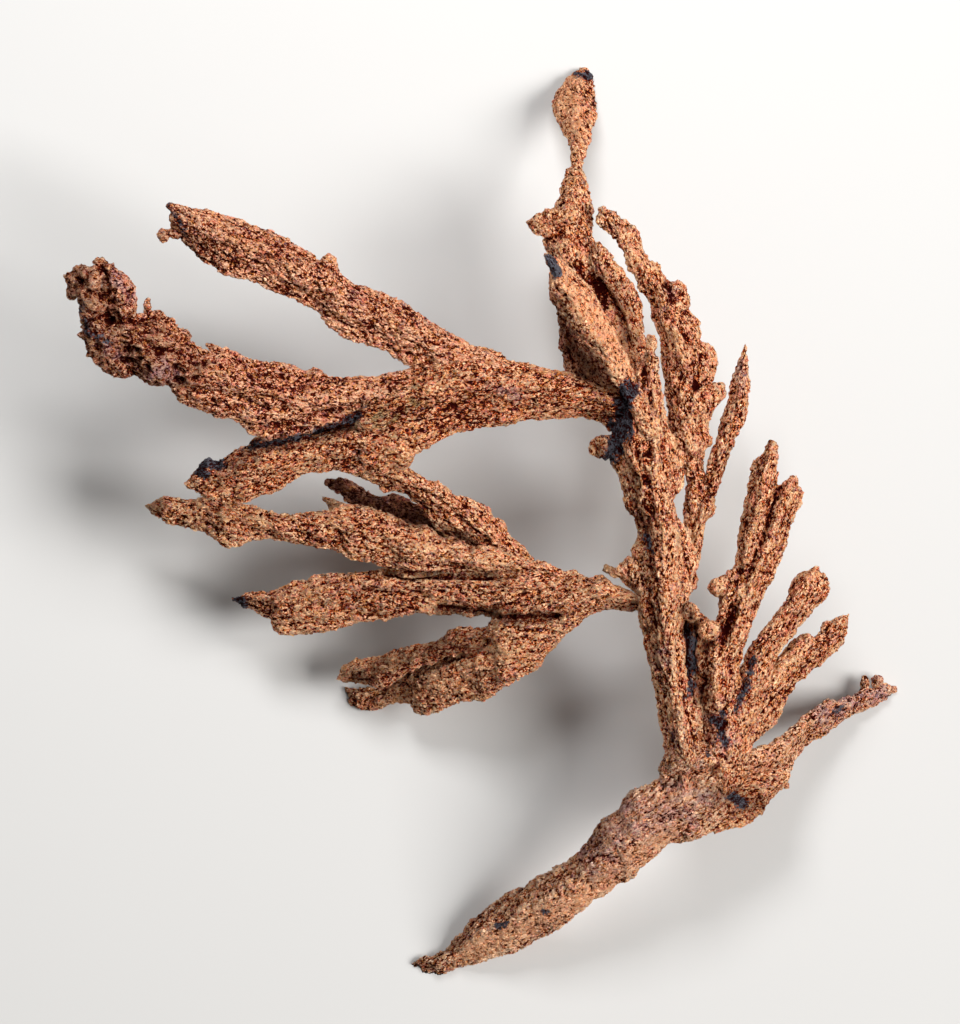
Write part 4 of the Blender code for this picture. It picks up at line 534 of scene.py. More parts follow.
# Each kind of mark with how ragged its rim is and the number that its noise starts from.
MARKS = {
    "pale": (PALE_AND_PAINTED_LIGHT_MARKS, 0.4, 31),
    "black": (BLACK_MARKS, 0.6, 41),
    "violet": (VIOLET_MARKS, 0.6, 51),
    "green": (GREEN_MARKS, 0.7, 61),
    "brown": (BROWN_AND_PAINTED_SHADE_MARKS, 0.5, 71),
}
MARK_CORE = 1.25                           # half widths that a mark reaches without the noise
RAGGED_SIZES = ((1.1, 1.0), (0.5, 0.8))    # size, mm, and share of the noise along the rims

# ------------------------------------------------------------------- noise in space
CELL_FACTORS = (73856093, 19349663, 83492791)   # large odd numbers, one for each index
SALT_FACTOR = 2654435761
MIXING_STEPS = ((15, 2246822519), (13, 3266489917))
LAST_SHIFT = 16
LOW_BITS = 0xFFFFFFFF
SEED_ROOM = (0.1, 0.8)      # where in its cube a flake's seed may lie: the start and the length


def scatter(cells, salt):
    """A number from 0 to 1 for each whole-number cell: its three indices, multiplied by
    large odd numbers and mixed by shifts, so that neighbours have unlike numbers."""
    cells = cells.astype(np.int64).astype(np.uint64)
    mixed = np.uint64(salt * SALT_FACTOR)
    for axis, factor in enumerate(CELL_FACTORS):
        mixed = mixed ^ cells[..., axis] * np.uint64(factor)
    for shift, factor in MIXING_STEPS:
        mixed = (mixed ^ (mixed >> np.uint64(shift))) * np.uint64(factor) & np.uint64(LOW_BITS)
    return (mixed ^ (mixed >> np.uint64(LAST_SHIFT))) / float(LOW_BITS)


def swell(points, size, salt):
    """Smooth noise from -1 to 1: random numbers at the corners of cubes of this size,
    blended across each cube by 3t squared minus 2t cubed."""
    scaled = points / size
    base = np.floor(scaled)
    part = scaled - base
    part = part * part * (3.0 - 2.0 * part)
    total = np.zeros(len(points))
    for corner in np.ndindex(2, 2, 2):
        weight = np.prod(np.where(corner, part, 1.0 - part), axis=1)
        total += weight * scatter(base + corner, salt)
    return total * 2.0 - 1.0


def flakes(points, size, salt):
    """Flakes of about this size: one seed point in each cube, away from its walls. Returns
    the gap between the distances to the nearest seed and to the next one, in sizes, a
    random number for each flake, and how far the point lies along the flake's own tilt."""
    start, length = SEED_ROOM
    scaled = points / size
    base = np.floor(scaled)
    first = np.full(len(points), np.inf)
    second = first.copy()
    home = np.zeros_like(points)
    reach = np.zeros_like(points)
    for step in np.ndindex(3, 3, 3):
        cell = base + np.array(step) - 1.0
        seed = np.stack([scatter(cell, salt + axis) for axis in range(3)], axis=1)
        offset = scaled - (cell + start + length * seed)
        away = np.sqrt((offset**2).sum(axis=1))
        nearer = away < first
        second = np.where(nearer, first, np.minimum(second, away))
        home[nearer] = cell[nearer]
        reach[nearer] = offset[nearer]
        first = np.where(nearer, away, first)
    number = scatter(home, salt + 7)
    tilt = np.stack([scatter(home, salt + 8 + axis) - 0.5 for axis in range(3)], axis=1)
    return second - first, number, (tilt * reach).sum(axis=1)


# ---------------------------------------------------------------------- blade grids
def own_number(name):
    """A whole number from a name, from which the noise on that blade or branch starts."""
    return sum(ord(letter) for letter in name)


def on_sheet(points):
    """Sheet millimetres to millimetres from the specimen's middle, y up."""
    points = np.asarray(points, float)
    return np.column_stack((points[:, 0] - SHEET_CENTRE[0], SHEET_CENTRE[1] - points[:, 1]))


def evenly(points, count):
    """Points at even steps along a polyline, with the corners between them eased."""
    along = np.concatenate(([0.0], np.cumsum(np.hypot(*np.diff(points, axis=0).T))))
    at = np.linspace(0.0, along[-1], count)
    even = np.column_stack([np.interp(at, along, points[:, axis]) for axis in (0, 1)])
    even[1:-1] = 0.25 * even[:-2] + 0.5 * even[1:-1] + 0.25 * even[2:]
    return even


def lengthwise(value, count):
    """A value, or values at even steps from root to tip, read at each station."""
    values = np.atleast_1d(value)
    return np.interp(np.linspace(0, 1, count), np.linspace(0, 1, len(values)), values)


def serrated(edge, side, salt):
    """An edge whose points stray across it by teeth: smooth noise in two sizes."""
    run = np.gradient(edge, axis=0)
    run /= np.linalg.norm(run, axis=1, keepdims=True) + NEAR_ZERO
    across = np.column_stack((-run[:, 1], run[:, 0])) * side
    place = np.column_stack((edge, np.full(len(edge), float(salt))))
    stray = swell(place, TOOTH_PITCH, salt) + 0.5 * swell(place, TOOTH_PITCH / 2, salt + 3)
    return edge + across * (EDGE_TEETH * stray)[:, None]


def blade_grid(name, ribs):
    """A blade as stations by points by xyz, in mm. Across a station the points run from the
    upper edge over the ridge to the lower edge and back along the keel. The height of a
    point is one minus the share of the way from the ridge to the edge, to a power, times
    the width. Lengthwise ribs wander over it as a triangle wave in the distance across."""
    blade = BLADES[name]
    salt = own_number(name)
    upper = on_sheet(blade["upper"])
    lower = on_sheet(blade["lower"])
    length = max(np.hypot(*np.diff(edge, axis=0).T).sum() for edge in (upper, lower))
    count = max(LEAST_RINGS, int(length / GRID_PITCH))
    upper = serrated(evenly(upper, count), 1.0, salt)
    lower = serrated(evenly(lower, count), -1.0, salt + 11)
    width = np.hypot(*(lower - upper).T)
    half = max(LEAST_ACROSS, int(width.max() * SLOPE / GRID_PITCH))
    share = 0.5 - 0.5 * np.cos(np.pi * np.arange(2 * half) / half)
    above = np.arange(2 * half) <= half
    crest = blade["crest"]
    off_ridge = np.where(share < crest, 1.0 - share / crest, (share - crest) / (1.0 - crest))
    off_keel = np.abs(2.0 * share - 1.0)
    rim = RIM * (1.0 - off_keel**RIM_POWER)
    top = 1.0 - off_ridge**TOP_POWER
    keel = 1.0 - off_keel**KEEL_POWER
    plan = upper[:, None, :] + (lower - upper)[:, None, :] * share[None, :, None]
    level = lengthwise(blade["z"], count)[:, None] + blade["roll"] * (0.5 - share)
    rise = (width * lengthwise(blade["top"], count))[:, None] * top + rim
    drop = (width * lengthwise(blade["under"], count))[:, None] * keel + rim
    depth, pitch = ribs
    size, reach = RIB_WANDER
    place = np.concatenate((plan, np.zeros(plan.shape[:2] + (1,))), axis=2)
    wander = swell(place.reshape(-1, 3), size, salt + 5).reshape(plan.shape[:2])
    phase = share * width[:, None] / pitch + reach * wander
    rib = np.abs(2.0 * (phase - np.floor(phase)) - 1.0) - 0.5
    body = np.minimum(top, keel) ** 0.5
    side = np.where(above, rise, -drop)
    height = level + side + np.where(above, 1.0, -1.0) * depth * rib * body
    return np.concatenate((plan, height[:, :, None]), axis=2)


def rounded_ends(grid):
    """The grid with both ends drawn in to a point: three rings whose size falls as the
    cosine, and whose distance out grows as the sine, of an even angle."""
    rings = [grid]
    for end, inner in ((0, 2), (-1, -3)):
        ring = grid[end]
        middle = ring.mean(axis=0)
        out = middle - grid[inner].mean(axis=0)
        reach = 0.5 * np.ptp(ring, axis=0)[2] * out / (np.linalg.norm(out) + NEAR_ZERO)
        caps = []
        for degrees in CAP_ANGLES:
            angle = math.radians(degrees)
            caps.append(middle + (ring - middle) * math.cos(angle) + reach * math.sin(angle))
        rings = [np.array(caps[::-1])] + rings if end == 0 else rings + [np.array(caps)]
    return np.concatenate(rings)


def lump_grid(name):
    """A lump as a stretched ball, turned in plan. At the angle a down from its upper pole
    and b around it lie half width sin a cos b, half length sin a sin b, half height cos a."""
    place, z, half_width, half_length, half_height, turn = LUMPS[name]
    rings = max(LEAST_RINGS, int(math.pi * max(half_width, half_length) / GRID_PITCH))
    down, around = np.meshgrid(
        np.linspace(0.0, np.pi, rings),
        np.linspace(0.0, 2 * np.pi, 2 * rings, endpoint=False),
        indexing="ij",
    )
    x = half_width * np.sin(down) * np.cos(around)
    y = half_length * np.sin(down) * np.sin(around)
    c = math.cos(math.radians(turn))
    s = math.sin(math.radians(turn))
    middle = on_sheet([place])[0]
    height = z + half_height * np.cos(down)
    return np.stack((middle[0] + c * x - s * y, middle[1] + s * x + c * y, height), axis=2)


def grid_faces(grid, start):
    """Quads between neighbouring rings, numbered from start. Each ring's last point meets its
    first, and where the volume that the quads enclose is negative, they are turned round."""
    count, around, _ = grid.shape
    index = start + np.arange(count * around).reshape(count, around)
    after = np.roll(index, -1, axis=1)
    quads = np.stack((index[:-1], after[:-1], after[1:], index[1:]), axis=-1).reshape(-1, 4)
    corner = grid.reshape(-1, 3)[quads - start]
    volume = np.einsum("ij,ij->i", corner[:, 0], np.cross(corner[:, 1], corner[:, 2])).sum()
    volume += np.einsum("ij,ij->i", corner[:, 0], np.cross(corner[:, 2], corner[:, 3])).sum()
    return quads if volume > 0 else quads[:, ::-1]


# ----------------------------------------------------------------------------- skin
def mesh_of(name, points, faces):
    """A mesh of these points and faces."""
    mesh = bpy.data.meshes.new(name)
    mesh.from_pydata(points, [], faces)
    mesh.update()
    return mesh


def evaluated(thing):
    """The mesh that an object's modifiers make. The object itself is taken away."""
    graph = bpy.context.evaluated_depsgraph_get()
    mesh = bpy.data.meshes.new_from_object(thing.evaluated_get(graph))
    bpy.data.objects.remove(thing)
    return mesh


def linked(name, data):
    """An object with this mesh, light or camera, in the scene."""
    thing = bpy.data.objects.new(name, data)
    bpy.context.scene.collection.objects.link(thing)
    return thing


def closed_skin(name, grids):
    """The grids of one branch closed into one skin. They cross at their roots, where no
    single grid can run, so a voxel Remesh makes one closed surface of them all, and a
    Decimate thins out the faces that look down."""
    points = np.concatenate([grid.reshape(-1, 3) for grid in grids])
    starts = np.cumsum([0] + [grid.shape[0] * grid.shape[1] for grid in grids])
    faces = np.concatenate([grid_faces(grid, start) for grid, start in zip(grids, starts)])
    raw = linked(name + "_raw", mesh_of(name + "_raw", points, faces))
    modifier = raw.modifiers.new("skin", "REMESH")
    modifier.mode = "VOXEL"
    modifier.voxel_size = SKIN_PITCH
    dense = linked(name + "_dense", evaluated(raw))
    down = vertex_array(dense.data, "normal")[:, 2] < DOWNWARD
    below = dense.vertex_groups.new(name="below")
    below.add(np.flatnonzero(down).tolist(), 1.0, "REPLACE")
    modifier = dense.modifiers.new("thinner", "DECIMATE")
    modifier.vertex_group = below.name
    modifier.ratio = 1.0 - float(down.mean()) * (1.0 - BELOW_SHARE)
    return evaluated(dense)


def vertex_array(mesh, kind):
    """The place or the normal of each point, as rows of three."""
    values = np.empty(len(mesh.vertices) * 3, np.float32)
    if kind == "place":
        mesh.vertices.foreach_get("co", values)
    else:
        mesh.vertex_normals.foreach_get("vector", values)
    return values.reshape(-1, 3).astype(float)


def set_places(mesh, places):
    """Moves each point to its new place."""
    mesh.vertices.foreach_set("co", places.astype(np.float32).ravel())
    mesh.update()


def eased(values, ends, rounds):
    """Each point's value moved to the mean of its neighbours', this many times."""
    count = len(values)
    here = np.concatenate(ends)
    there = np.concatenate(ends[::-1])
    near = np.maximum(np.bincount(here, minlength=count), 1)
    for _ in range(rounds):
        values = np.column_stack([
            np.bincount(here, column[there], count) / near for column in values.T
        ])
    return values


def edge_ends(mesh):
    """The two points of each edge: a row of first points and a row of second ones."""
    ends = np.empty(len(mesh.edges) * 2, np.int32)
    mesh.edges.foreach_get("vertices", ends)
    return ends.reshape(-1, 2).T


def off_line(places, points):
    """The distance in plan from each place to a line of sheet points, or to a single one."""
    line = on_sheet(points + points[-1:])
    away = np.full(len(places), np.inf)
    for start, end in zip(line[:-1], line[1:]):
        run = end - start
        share = np.clip((places[:, :2] - start) @ run / max(run @ run, NEAR_ZERO), 0.0, 1.0)
        away = np.minimum(away, np.hypot(*(places[:, :2] - start - share[:, None] * run).T))
    return away


def marked(places, marks, ragged, salt):
    """How strongly a set of marks holds at each point, 0 to 1: one and a quarter less the
    distance in half widths, with smooth noise in two sizes that makes the rim ragged."""
    total = np.zeros(len(places))
    noise = sum(share * swell(places, size, salt + step)
                for step, (size, share) in enumerate(RAGGED_SIZES))
    for points, half_width, strength in marks:
        away = off_line(places, points) / half_width
        total = np.maximum(total, strength * np.clip(MARK_CORE - away + ragged * noise, 0.0, 1.0))
    return np.clip(total, 0.0, 1.0)


# ------------------------------------------------- crystals on the skin, in millimetres
SWELL = 0.12            # how far the whole skin is let out, since pits and folds draw it in
LUMP_SIZES = ((3.2, 0.16), (1.4, 0.07))     # size and height of the soft lumps
CRUMB_SIZE = 0.95       # size of the small sharp lumps on the brown places
CRUMB_HEIGHT = 0.1
FOLD_SIZES = ((1.9, 1.5), (0.62, 0.8))      # width and share of height of the lengthwise folds
FOLD_STRETCH = 0.36     # share of a fold's length left when it is measured along the branch
FOLD_POWER = 0.7        # below 1, the furrows between the folds are sharp
FOLD_HEIGHT = 0.17
SIDE_FOLDS = 0.35       # share of the folds that is left where the skin doesn't look up
FLAKE_SIZES = ((0.33, 0.13), (0.22, 0.10))  # size and height of the flakes
FLAKE_STRETCH = 0.64    # share of a flake's length left when it is measured along the branch
FLAKE_TILT = 1.3        # how steeply the top of a flake leans
FLAKE_WARP = (0.8, 0.30)                    # size and reach of the wander of their outlines
FLAKE_SEAM = (0.2, 0.25)                    # width, in flakes, and share of height of the seams
PIT_SIZE = 0.40
PIT_SHARE = 0.50        # the noise above which a pit opens
PIT_WALL = 0.16         # and how much more of it there is where the pit is at its deepest
PIT_DEPTH = 0.12
SMOOTH_SHARE = 0.45     # share of the relief that pale faces lose
# How a point stands to its surroundings: the rounds of easing that make these, and the
# height above or below them that counts as full.
# The finish paints shade into the pits and hollows and light onto the tops from these.
RELIEF_REACH = {"relief": (4, 0.125), "hollow": (26, 0.36)}


def along_branch(places, run, stretch):
    """Places turned so that the branch runs along x, and shortened that way, so that
    noise read there comes out stretched lengthwise."""
    angle = math.radians(run)
    x = places[:, 0] * math.cos(angle) + places[:, 1] * math.sin(angle)
    y = places[:, 1] * math.cos(angle) - places[:, 0] * math.sin(angle)
    return np.column_stack((x * stretch, y, places[:, 2]))


def warped(places, salt):
    """Places moved by three smooth noises, so that flakes and pits get uneven outlines."""
    size, reach = FLAKE_WARP
    return places + reach * np.column_stack([swell(places, size, salt + axis) for axis in range(3)])


def flake_height(places, size, salt):
    """From about -0.5 to 0.5, with the flake's number. Each flake is a chip with a leaning
    top: its own number, plus its lean, less a little where it meets the next one."""
    gap, number, lean = flakes(places, size, salt)
    width, depth = FLAKE_SEAM
    seam = np.clip(1.0 - gap / width, 0.0, 1.0)
    return number - 0.5 + FLAKE_TILT * lean - depth * seam, number


def folds(places, salt):
    """Furrows where smooth noise crosses zero, with folds between them, in two widths: each
    is twice the noise's size to a power, less one, times its share."""
    return sum(share * (2.0 * np.abs(swell(places, size, salt)) ** FOLD_POWER - 1.0)
               for size, share in FOLD_SIZES)


def pits(places, salt):
    """From 0 to 1: open where smooth noise is high, with steep sides."""
    return np.clip((swell(places, PIT_SIZE, salt) - PIT_SHARE) / PIT_WALL, 0.0, 1.0)


def stored_on(mesh, name, values):
    """Keeps a number, or three, on each point of the mesh under this name."""
    kind, slot = ("FLOAT", "value") if values.ndim == 1 else ("FLOAT_VECTOR", "vector")
    attribute = mesh.attributes.new(name, kind, "POINT")
    attribute.data.foreach_set(slot, values.astype(np.float32).ravel())


def crystallised(mesh, plan, salt):
    """Pushes a skin's points along their normals by lumps, crumbs, creases, folds, flakes and
    pits, and stores on each point its marks, its height over two sizes of surroundings, and
    its place turned along the branch. Each noise starts at its own step past salt."""
    places = vertex_array(mesh, "place")
    normals = vertex_array(mesh, "normal")
    marks = {name: marked(places, *mark) for name, mark in MARKS.items()}
    marks["lift"] = np.full(len(places), plan.get("lift", 0.0))
    push = SWELL + sum(height * swell(places, size, salt + 1) for size, height in LUMP_SIZES)
    crumbs = plan.get("crumbs", CRUMB_HEIGHT) * marks["brown"]
    push += crumbs * (1.0 - 2.0 * np.abs(swell(places, CRUMB_SIZE, salt + 4)))
    looks_up = np.clip(normals[:, 2] * 2.0, 0.0, 1.0)
    for points, half_width, depth in CREASES:
        push -= depth * looks_up * np.exp(-((off_line(places, points) / half_width) ** 2))
    fold = folds(along_branch(places, plan["run"], FOLD_STRETCH), salt + 6)
    fold *= SIDE_FOLDS + (1.0 - SIDE_FOLDS) * looks_up
    wander = warped(along_branch(places, plan["run"], FLAKE_STRETCH), salt + 20)
    level = plan.get("folds", FOLD_HEIGHT) * fold - PIT_DEPTH * pits(wander, salt + 9)
    for size, height in FLAKE_SIZES:
        flake, number = flake_height(wander, size, salt + 2)
        level += height * flake
        marks.setdefault("tint", number)
    level *= 1.0 - SMOOTH_SHARE * marks["pale"]
    places = places + normals * (push + level)[:, None]
    places[:, 2] = np.maximum(places[:, 2], 0.0)
    set_places(mesh, places * MM)
    ends = edge_ends(mesh)
    smooth = places
    done = 0
    for name, (rounds, full) in RELIEF_REACH.items():
        smooth = eased(smooth, ends, rounds - done)
        done = rounds
        height = ((places - smooth) * normals).sum(axis=1)
        marks[name] = np.clip(0.5 + 0.5 * height / full, 0.0, 1.0)
    for name, values in marks.items():
        stored_on(mesh, name, values)
    stored_on(mesh, "along", along_branch(places, plan["run"], FLAKE_STRETCH))


def branch_piece(name, plan):
    """One branch of the specimen, in place of its solid."""
    ribs = plan.get("ribs", FINE_RIBS)
    grids = [rounded_ends(blade_grid(blade, ribs)) for blade in plan["blades"]]
    grids += [lump_grid(lump) for lump in plan.get("lumps", ())]
    mesh = closed_skin(name + "_skin", grids)
    crystallised(mesh, plan, own_number(name))
    mesh.polygons.foreach_set("use_smooth", np.ones(len(mesh.polygons), bool))
    piece = linked(name + "_skin", mesh)
    slot = plan.get("slot", "bright_copper")
    mesh.materials.clear()
    mesh.materials.append(FINISHES[slot])
    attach(piece, "root")
    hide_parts(name)


# ------------------------------------------------------------------------- materials
def group(name, inputs, outputs):
    """An empty shader node group with float or colour sockets."""
    tree = bpy.data.node_groups.new(name, "ShaderNodeTree")
    for direction, sockets in (("INPUT", inputs), ("OUTPUT", outputs)):
        for label, kind in sockets:
            tree.interface.new_socket(name=label, in_out=direction, socket_type=kind)
    return tree, tree.nodes.new("NodeGroupInput"), tree.nodes.new("NodeGroupOutput")


def math_node(tree, operation, first, second):
    """A sum, difference, product or quotient. Each of the two may be a socket or a number."""
    node = tree.nodes.new("ShaderNodeMath")
    node.operation = operation
    for socket, value in zip(node.inputs, (first, second)):
        if isinstance(value, (int, float)):
            socket.default_value = value
        else:
            tree.links.new(value, socket)
    return node.outputs[0]


MIX_INPUTS = (0, 6, 7)      # a Mix node's sockets for a factor and two colours
MIX_OUTPUT = 2


def mixed(tree, factor, first, second, blend="MIX"):
    """A colour mix. Each of the three may be a socket, the factor a number and the two
    colours red, green and blue."""
    node = tree.nodes.new("ShaderNodeMix")
    node.data_type = "RGBA"
    node.blend_type = blend
    for number, value in zip(MIX_INPUTS, (factor, first, second)):
        socket = node.inputs[number]
        if isinstance(value, float):
            socket.default_value = value
        elif isinstance(value, tuple):
            socket.default_value = (*value, 1.0)
        else:
            tree.links.new(value, socket)
    return node.outputs[MIX_OUTPUT]


def stretched_range(tree, value, low, high):
    """The value stretched so that low gives 0 and high gives 1, and held there."""
    node = tree.nodes.new("ShaderNodeMapRange")
    node.clamp = True
    tree.links.new(value, node.inputs["Value"])
    node.inputs["From Min"].default_value = low
    node.inputs["From Max"].default_value = high
    return node.outputs["Result"]


def vector_node(tree, operation, first, second):
    """A vector operation. The second of the two may be a socket or three numbers, and a
    SCALE takes a single number's socket."""
    node = tree.nodes.new("ShaderNodeVectorMath")
    node.operation = operation
    tree.links.new(first, node.inputs[0])
    if isinstance(second, tuple):
        node.inputs[1].default_value = second
    else:
        tree.links.new(second, node.inputs["Scale" if operation == "SCALE" else 1])
    return node.outputs["Value" if operation == "DOT_PRODUCT" else "Vector"]


SEAM_NOISE = (0.44, 0.6)    # the noise at which a seam opens, and how fast it widens
SEAM_WALL = 0.13            # width of the rise from a seam to its flake, in flakes
OUTLINE_NOISE = (0.9, 1.8)  # how fine the wander of the outlines is, and its reach, in flakes
WALL_HEIGHT = 0.15          # how high the rise is
FLAKE_STEP = 0.35           # and how unlike the flakes' own heights are
DRIFT_SIZES = (("Wide", 1000.0), ("Close", 3200.0))   # waves in a metre, at a size of 1 mm
DRIFT_NOISE = (3.0, 0.6)    # detail and roughness
DRIFT_RANGE = (0.32, 0.68)


def fine_flakes_group():
    """Flakes too small for the mesh, laid along the branch: two random tints, the height of
    their leaning tops for bump, and the dark seams between them."""
    tree, given, made = group(
        "fine_flakes", (("Size mm", "NodeSocketFloat"),),
        (("Tint", "NodeSocketFloat"), ("Hue", "NodeSocketFloat"), ("Height", "NodeSocketFloat"),
         ("Seam", "NodeSocketFloat")))
    size = given.outputs["Size mm"]
    where = tree.nodes.new("ShaderNodeAttribute")
    where.attribute_name = "along"
    where = where.outputs["Vector"]
    scale = math_node(tree, "DIVIDE", 1.0, size)
    # the place, moved by smooth noise so that the outlines are uneven
    fineness, reach = OUTLINE_NOISE
    noise = tree.nodes.new("ShaderNodeTexNoise")
    tree.links.new(where, noise.inputs["Vector"])
    tree.links.new(math_node(tree, "MULTIPLY", scale, fineness), noise.inputs["Scale"])
    noise.inputs["Detail"].default_value = 1.0
    wander = vector_node(tree, "SUBTRACT", noise.outputs["Color"], (0.5, 0.5, 0.5))
    wander = vector_node(tree, "SCALE", wander, math_node(tree, "MULTIPLY", size, reach))
    place = vector_node(tree, "ADD", where, wander)
    cells = tree.nodes.new("ShaderNodeTexVoronoi")
    cells.feature = "F1"
    cracks = tree.nodes.new("ShaderNodeTexVoronoi")
    cracks.feature = "DISTANCE_TO_EDGE"
    for pattern in (cells, cracks):
        tree.links.new(place, pattern.inputs["Vector"])
        tree.links.new(scale, pattern.inputs["Scale"])
    tint = tree.nodes.new("ShaderNodeSeparateColor")
    tree.links.new(cells.outputs["Color"], tint.inputs[0])
    # the lean: how far the place lies from the flake's seed along the flake's own way
    off_seed = vector_node(tree, "SUBTRACT", place, cells.outputs["Position"])
    off_seed = vector_node(tree, "SCALE", off_seed, scale)
    own_way = vector_node(tree, "SUBTRACT", cells.outputs["Color"], (0.5, 0.5, 0.5))
    lean = vector_node(tree, "DOT_PRODUCT", off_seed, own_way)
    # the seams: wide where the noise is high, closed where it is low
    opens, widens = SEAM_NOISE
    width = tree.nodes.new("ShaderNodeSeparateColor")
    tree.links.new(noise.outputs["Color"], width.inputs[0])
    width = math_node(tree, "SUBTRACT", width.outputs[2], opens)
    width = math_node(tree, "MULTIPLY", width, widens)
    wall = math_node(tree, "SUBTRACT", cracks.outputs["Distance"], width)
    wall = stretched_range(tree, wall, 0.0, SEAM_WALL)
    height = math_node(tree, "ADD", lean, math_node(tree, "MULTIPLY", wall, WALL_HEIGHT))
    step = math_node(tree, "MULTIPLY", tint.outputs[1], FLAKE_STEP)
    tree.links.new(math_node(tree, "ADD", height, step), made.inputs["Height"])
    tree.links.new(tint.outputs[1], made.inputs["Tint"])
    tree.links.new(tint.outputs[2], made.inputs["Hue"])
    tree.links.new(math_node(tree, "SUBTRACT", 1.0, wall), made.inputs["Seam"])
    return tree


def drift_group():
    """Slow drifts of colour over the branch: two soft noises from 0 to 1."""
    tree, given, made = group("drift", (("Size mm", "NodeSocketFloat"),),
                              (("Wide", "NodeSocketFloat"), ("Close", "NodeSocketFloat")))
    where = tree.nodes.new("ShaderNodeTexCoord").outputs["Object"]
    detail, roughness = DRIFT_NOISE
    for label, factor in DRIFT_SIZES:
        scale = math_node(tree, "DIVIDE", factor, given.outputs["Size mm"])
        noise = tree.nodes.new("ShaderNodeTexNoise")
        tree.links.new(where, noise.inputs["Vector"])
        tree.links.new(scale, noise.inputs["Scale"])
        noise.inputs["Detail"].default_value = detail
        noise.inputs["Roughness"].default_value = roughness
        tree.links.new(stretched_range(tree, noise.outputs[0], *DRIFT_RANGE), made.inputs[label])
    return tree


OXIDE_AND_PIT_SHADE = (0.034, 0.0012, 0.0003)      # dark oxide, and painted shade in the pits, seams and hollows where the level is low
CRUST = (0.008, 0.008, 0.012)       # black crust
# painted highlight: the black crust's blue-grey glints where its level is high
CRUST_PAINTED_GLINT = (0.105, 0.100, 0.120)
TARNISH = (0.40, 0.27, 0.38)
VERDIGRIS = (0.20, 0.21, 0.09)
PEACH = (0.96, 0.41, 0.20)          # the pale places, partly painted light, and the brown places, mostly painted shade
PAINTED_SHADE_UMBER = (0.055, 0.012, 0.005)
ORANGE = (0.62, 0.20, 0.06)         # the wide drift
ROSE = (0.80, 0.20, 0.15)           # tints of single flakes
AMBER = (0.80, 0.36, 0.07)
PLUM = (0.20, 0.11, 0.20)
# Each finish: the painted shade in the hollows, the body, the flakes' tops, brightened as painted
# light, the painted glints, and how metallic the tops are.
FINISH_TONES = {
    "bright_copper": ((0.170, 0.0060, 0.0006), (0.60, 0.080, 0.013), (1.0, 0.355, 0.150),
                      (1.0, 0.67, 0.42), 0.42),
    "brown_copper": ((0.120, 0.0060, 0.0008), (0.42, 0.060, 0.012), (0.84, 0.28, 0.125),
                     (1.0, 0.61, 0.40), 0.42),
    # painted shade: a darker copy of the copper, for the under blade that lies in shade
    "dark_copper": ((0.035, 0.009, 0.005), (0.17, 0.050, 0.027), (0.42, 0.16, 0.090),
                    (0.70, 0.36, 0.24), 0.35),
    "tarnished_copper": ((0.17, 0.018, 0.004), (0.65, 0.150, 0.046), (1.0, 0.44, 0.22),
                         (1.0, 0.70, 0.48), 0.35),
}
COARSE_SIZE = 0.21          # of the flakes in the finish, mm
FINE_SIZE = 0.12
DRIFT_SIZE = 4.0

# A point's level says how dark or bright it is: below 0.2 the deepest pits, about 0.5 the
# body, above 0.7 the painted glints. It starts from the relief, which paints shade into the pits
# and light onto the tops, and what is named here moves it about the value that leaves it as it is,
# each by its weight.
LEVEL_START = 0.51
RELIEF_WEIGHT = 0.56
LEVEL_WEIGHTS = {
    # what moves it: the value that leaves it as it is, the weight
    "coarse tint": (0.5, 0.96),
    "fine tint": (0.5, 0.94),
    "flake tint": (0.5, 0.12),
    # painted shade: darker where the skin lies below its wider surroundings
    "hollow": (0.8, 0.70),
    "drift": (0.5, 0.46),
}
HOLLOW_RANGE = (0.1, 0.6)
COARSE_SEAM = -0.40
FINE_SEAM = -0.26
PALE_SEAMS = 0.6            # share of the seams that pale places lose
BLACK_LIFT = -0.12
PALE_LIFT = 0.06
# Levels over which one tone gives way to the next.
SHADE_TO_BODY = (0.25, 0.45)
BODY_TO_TOPS = (0.47, 0.68)
TOPS_TO_GLINT = (0.68, 0.88)
PIT_LEVELS = (0.21, 0.41)
CRUST_LEVELS = (0.45, 0.85)
CLEAN_LEVELS = (0.35, 0.85)
# Single flakes of another colour: the random number that picks them, the range over which
# they come in, their strength and their colour.
ODD_FLAKES = (
    ("flake tint", (0.80, 0.84), 0.42, ROSE),
    ("coarse hue", (0.07, 0.04), 0.75, OXIDE_AND_PIT_SHADE),
    ("coarse hue", (0.80, 0.83), 0.40, AMBER),
    ("fine hue", (0.90, 0.92), 0.55, PLUM),
)
ORANGE_SHARE = 0.5          # strength of the orange, and of the drift that carries it
PALE_SHARE = 0.40           # strengths of the marks
BROWN_SHARE = 0.72
GREEN_SHARE = 0.75
VIOLET_SHARE = 0.45
GREEN_RANGE = (0.35, 0.7)   # where the close drift lets green and violet through
VIOLET_RANGE = (0.55, 1.0)
VIOLET_FLAKES = 0.7         # how much the flakes break the violet up
CRUST_FLAKES = (0.6, 0.4)   # how much the coarse and the fine flakes break up the crust's rim
CRUST_RANGE = (0.34, 0.56)
ROUGHNESS = (0.75, 0.40)    # in the pits, and how much smoother the clean tops are
BUMP_MM = 0.33
FINE_BUMP = 0.4             # the fine flakes' share of the bump
GLOSS = 0.04                # specular level: the oxide between the tops is nearly dull


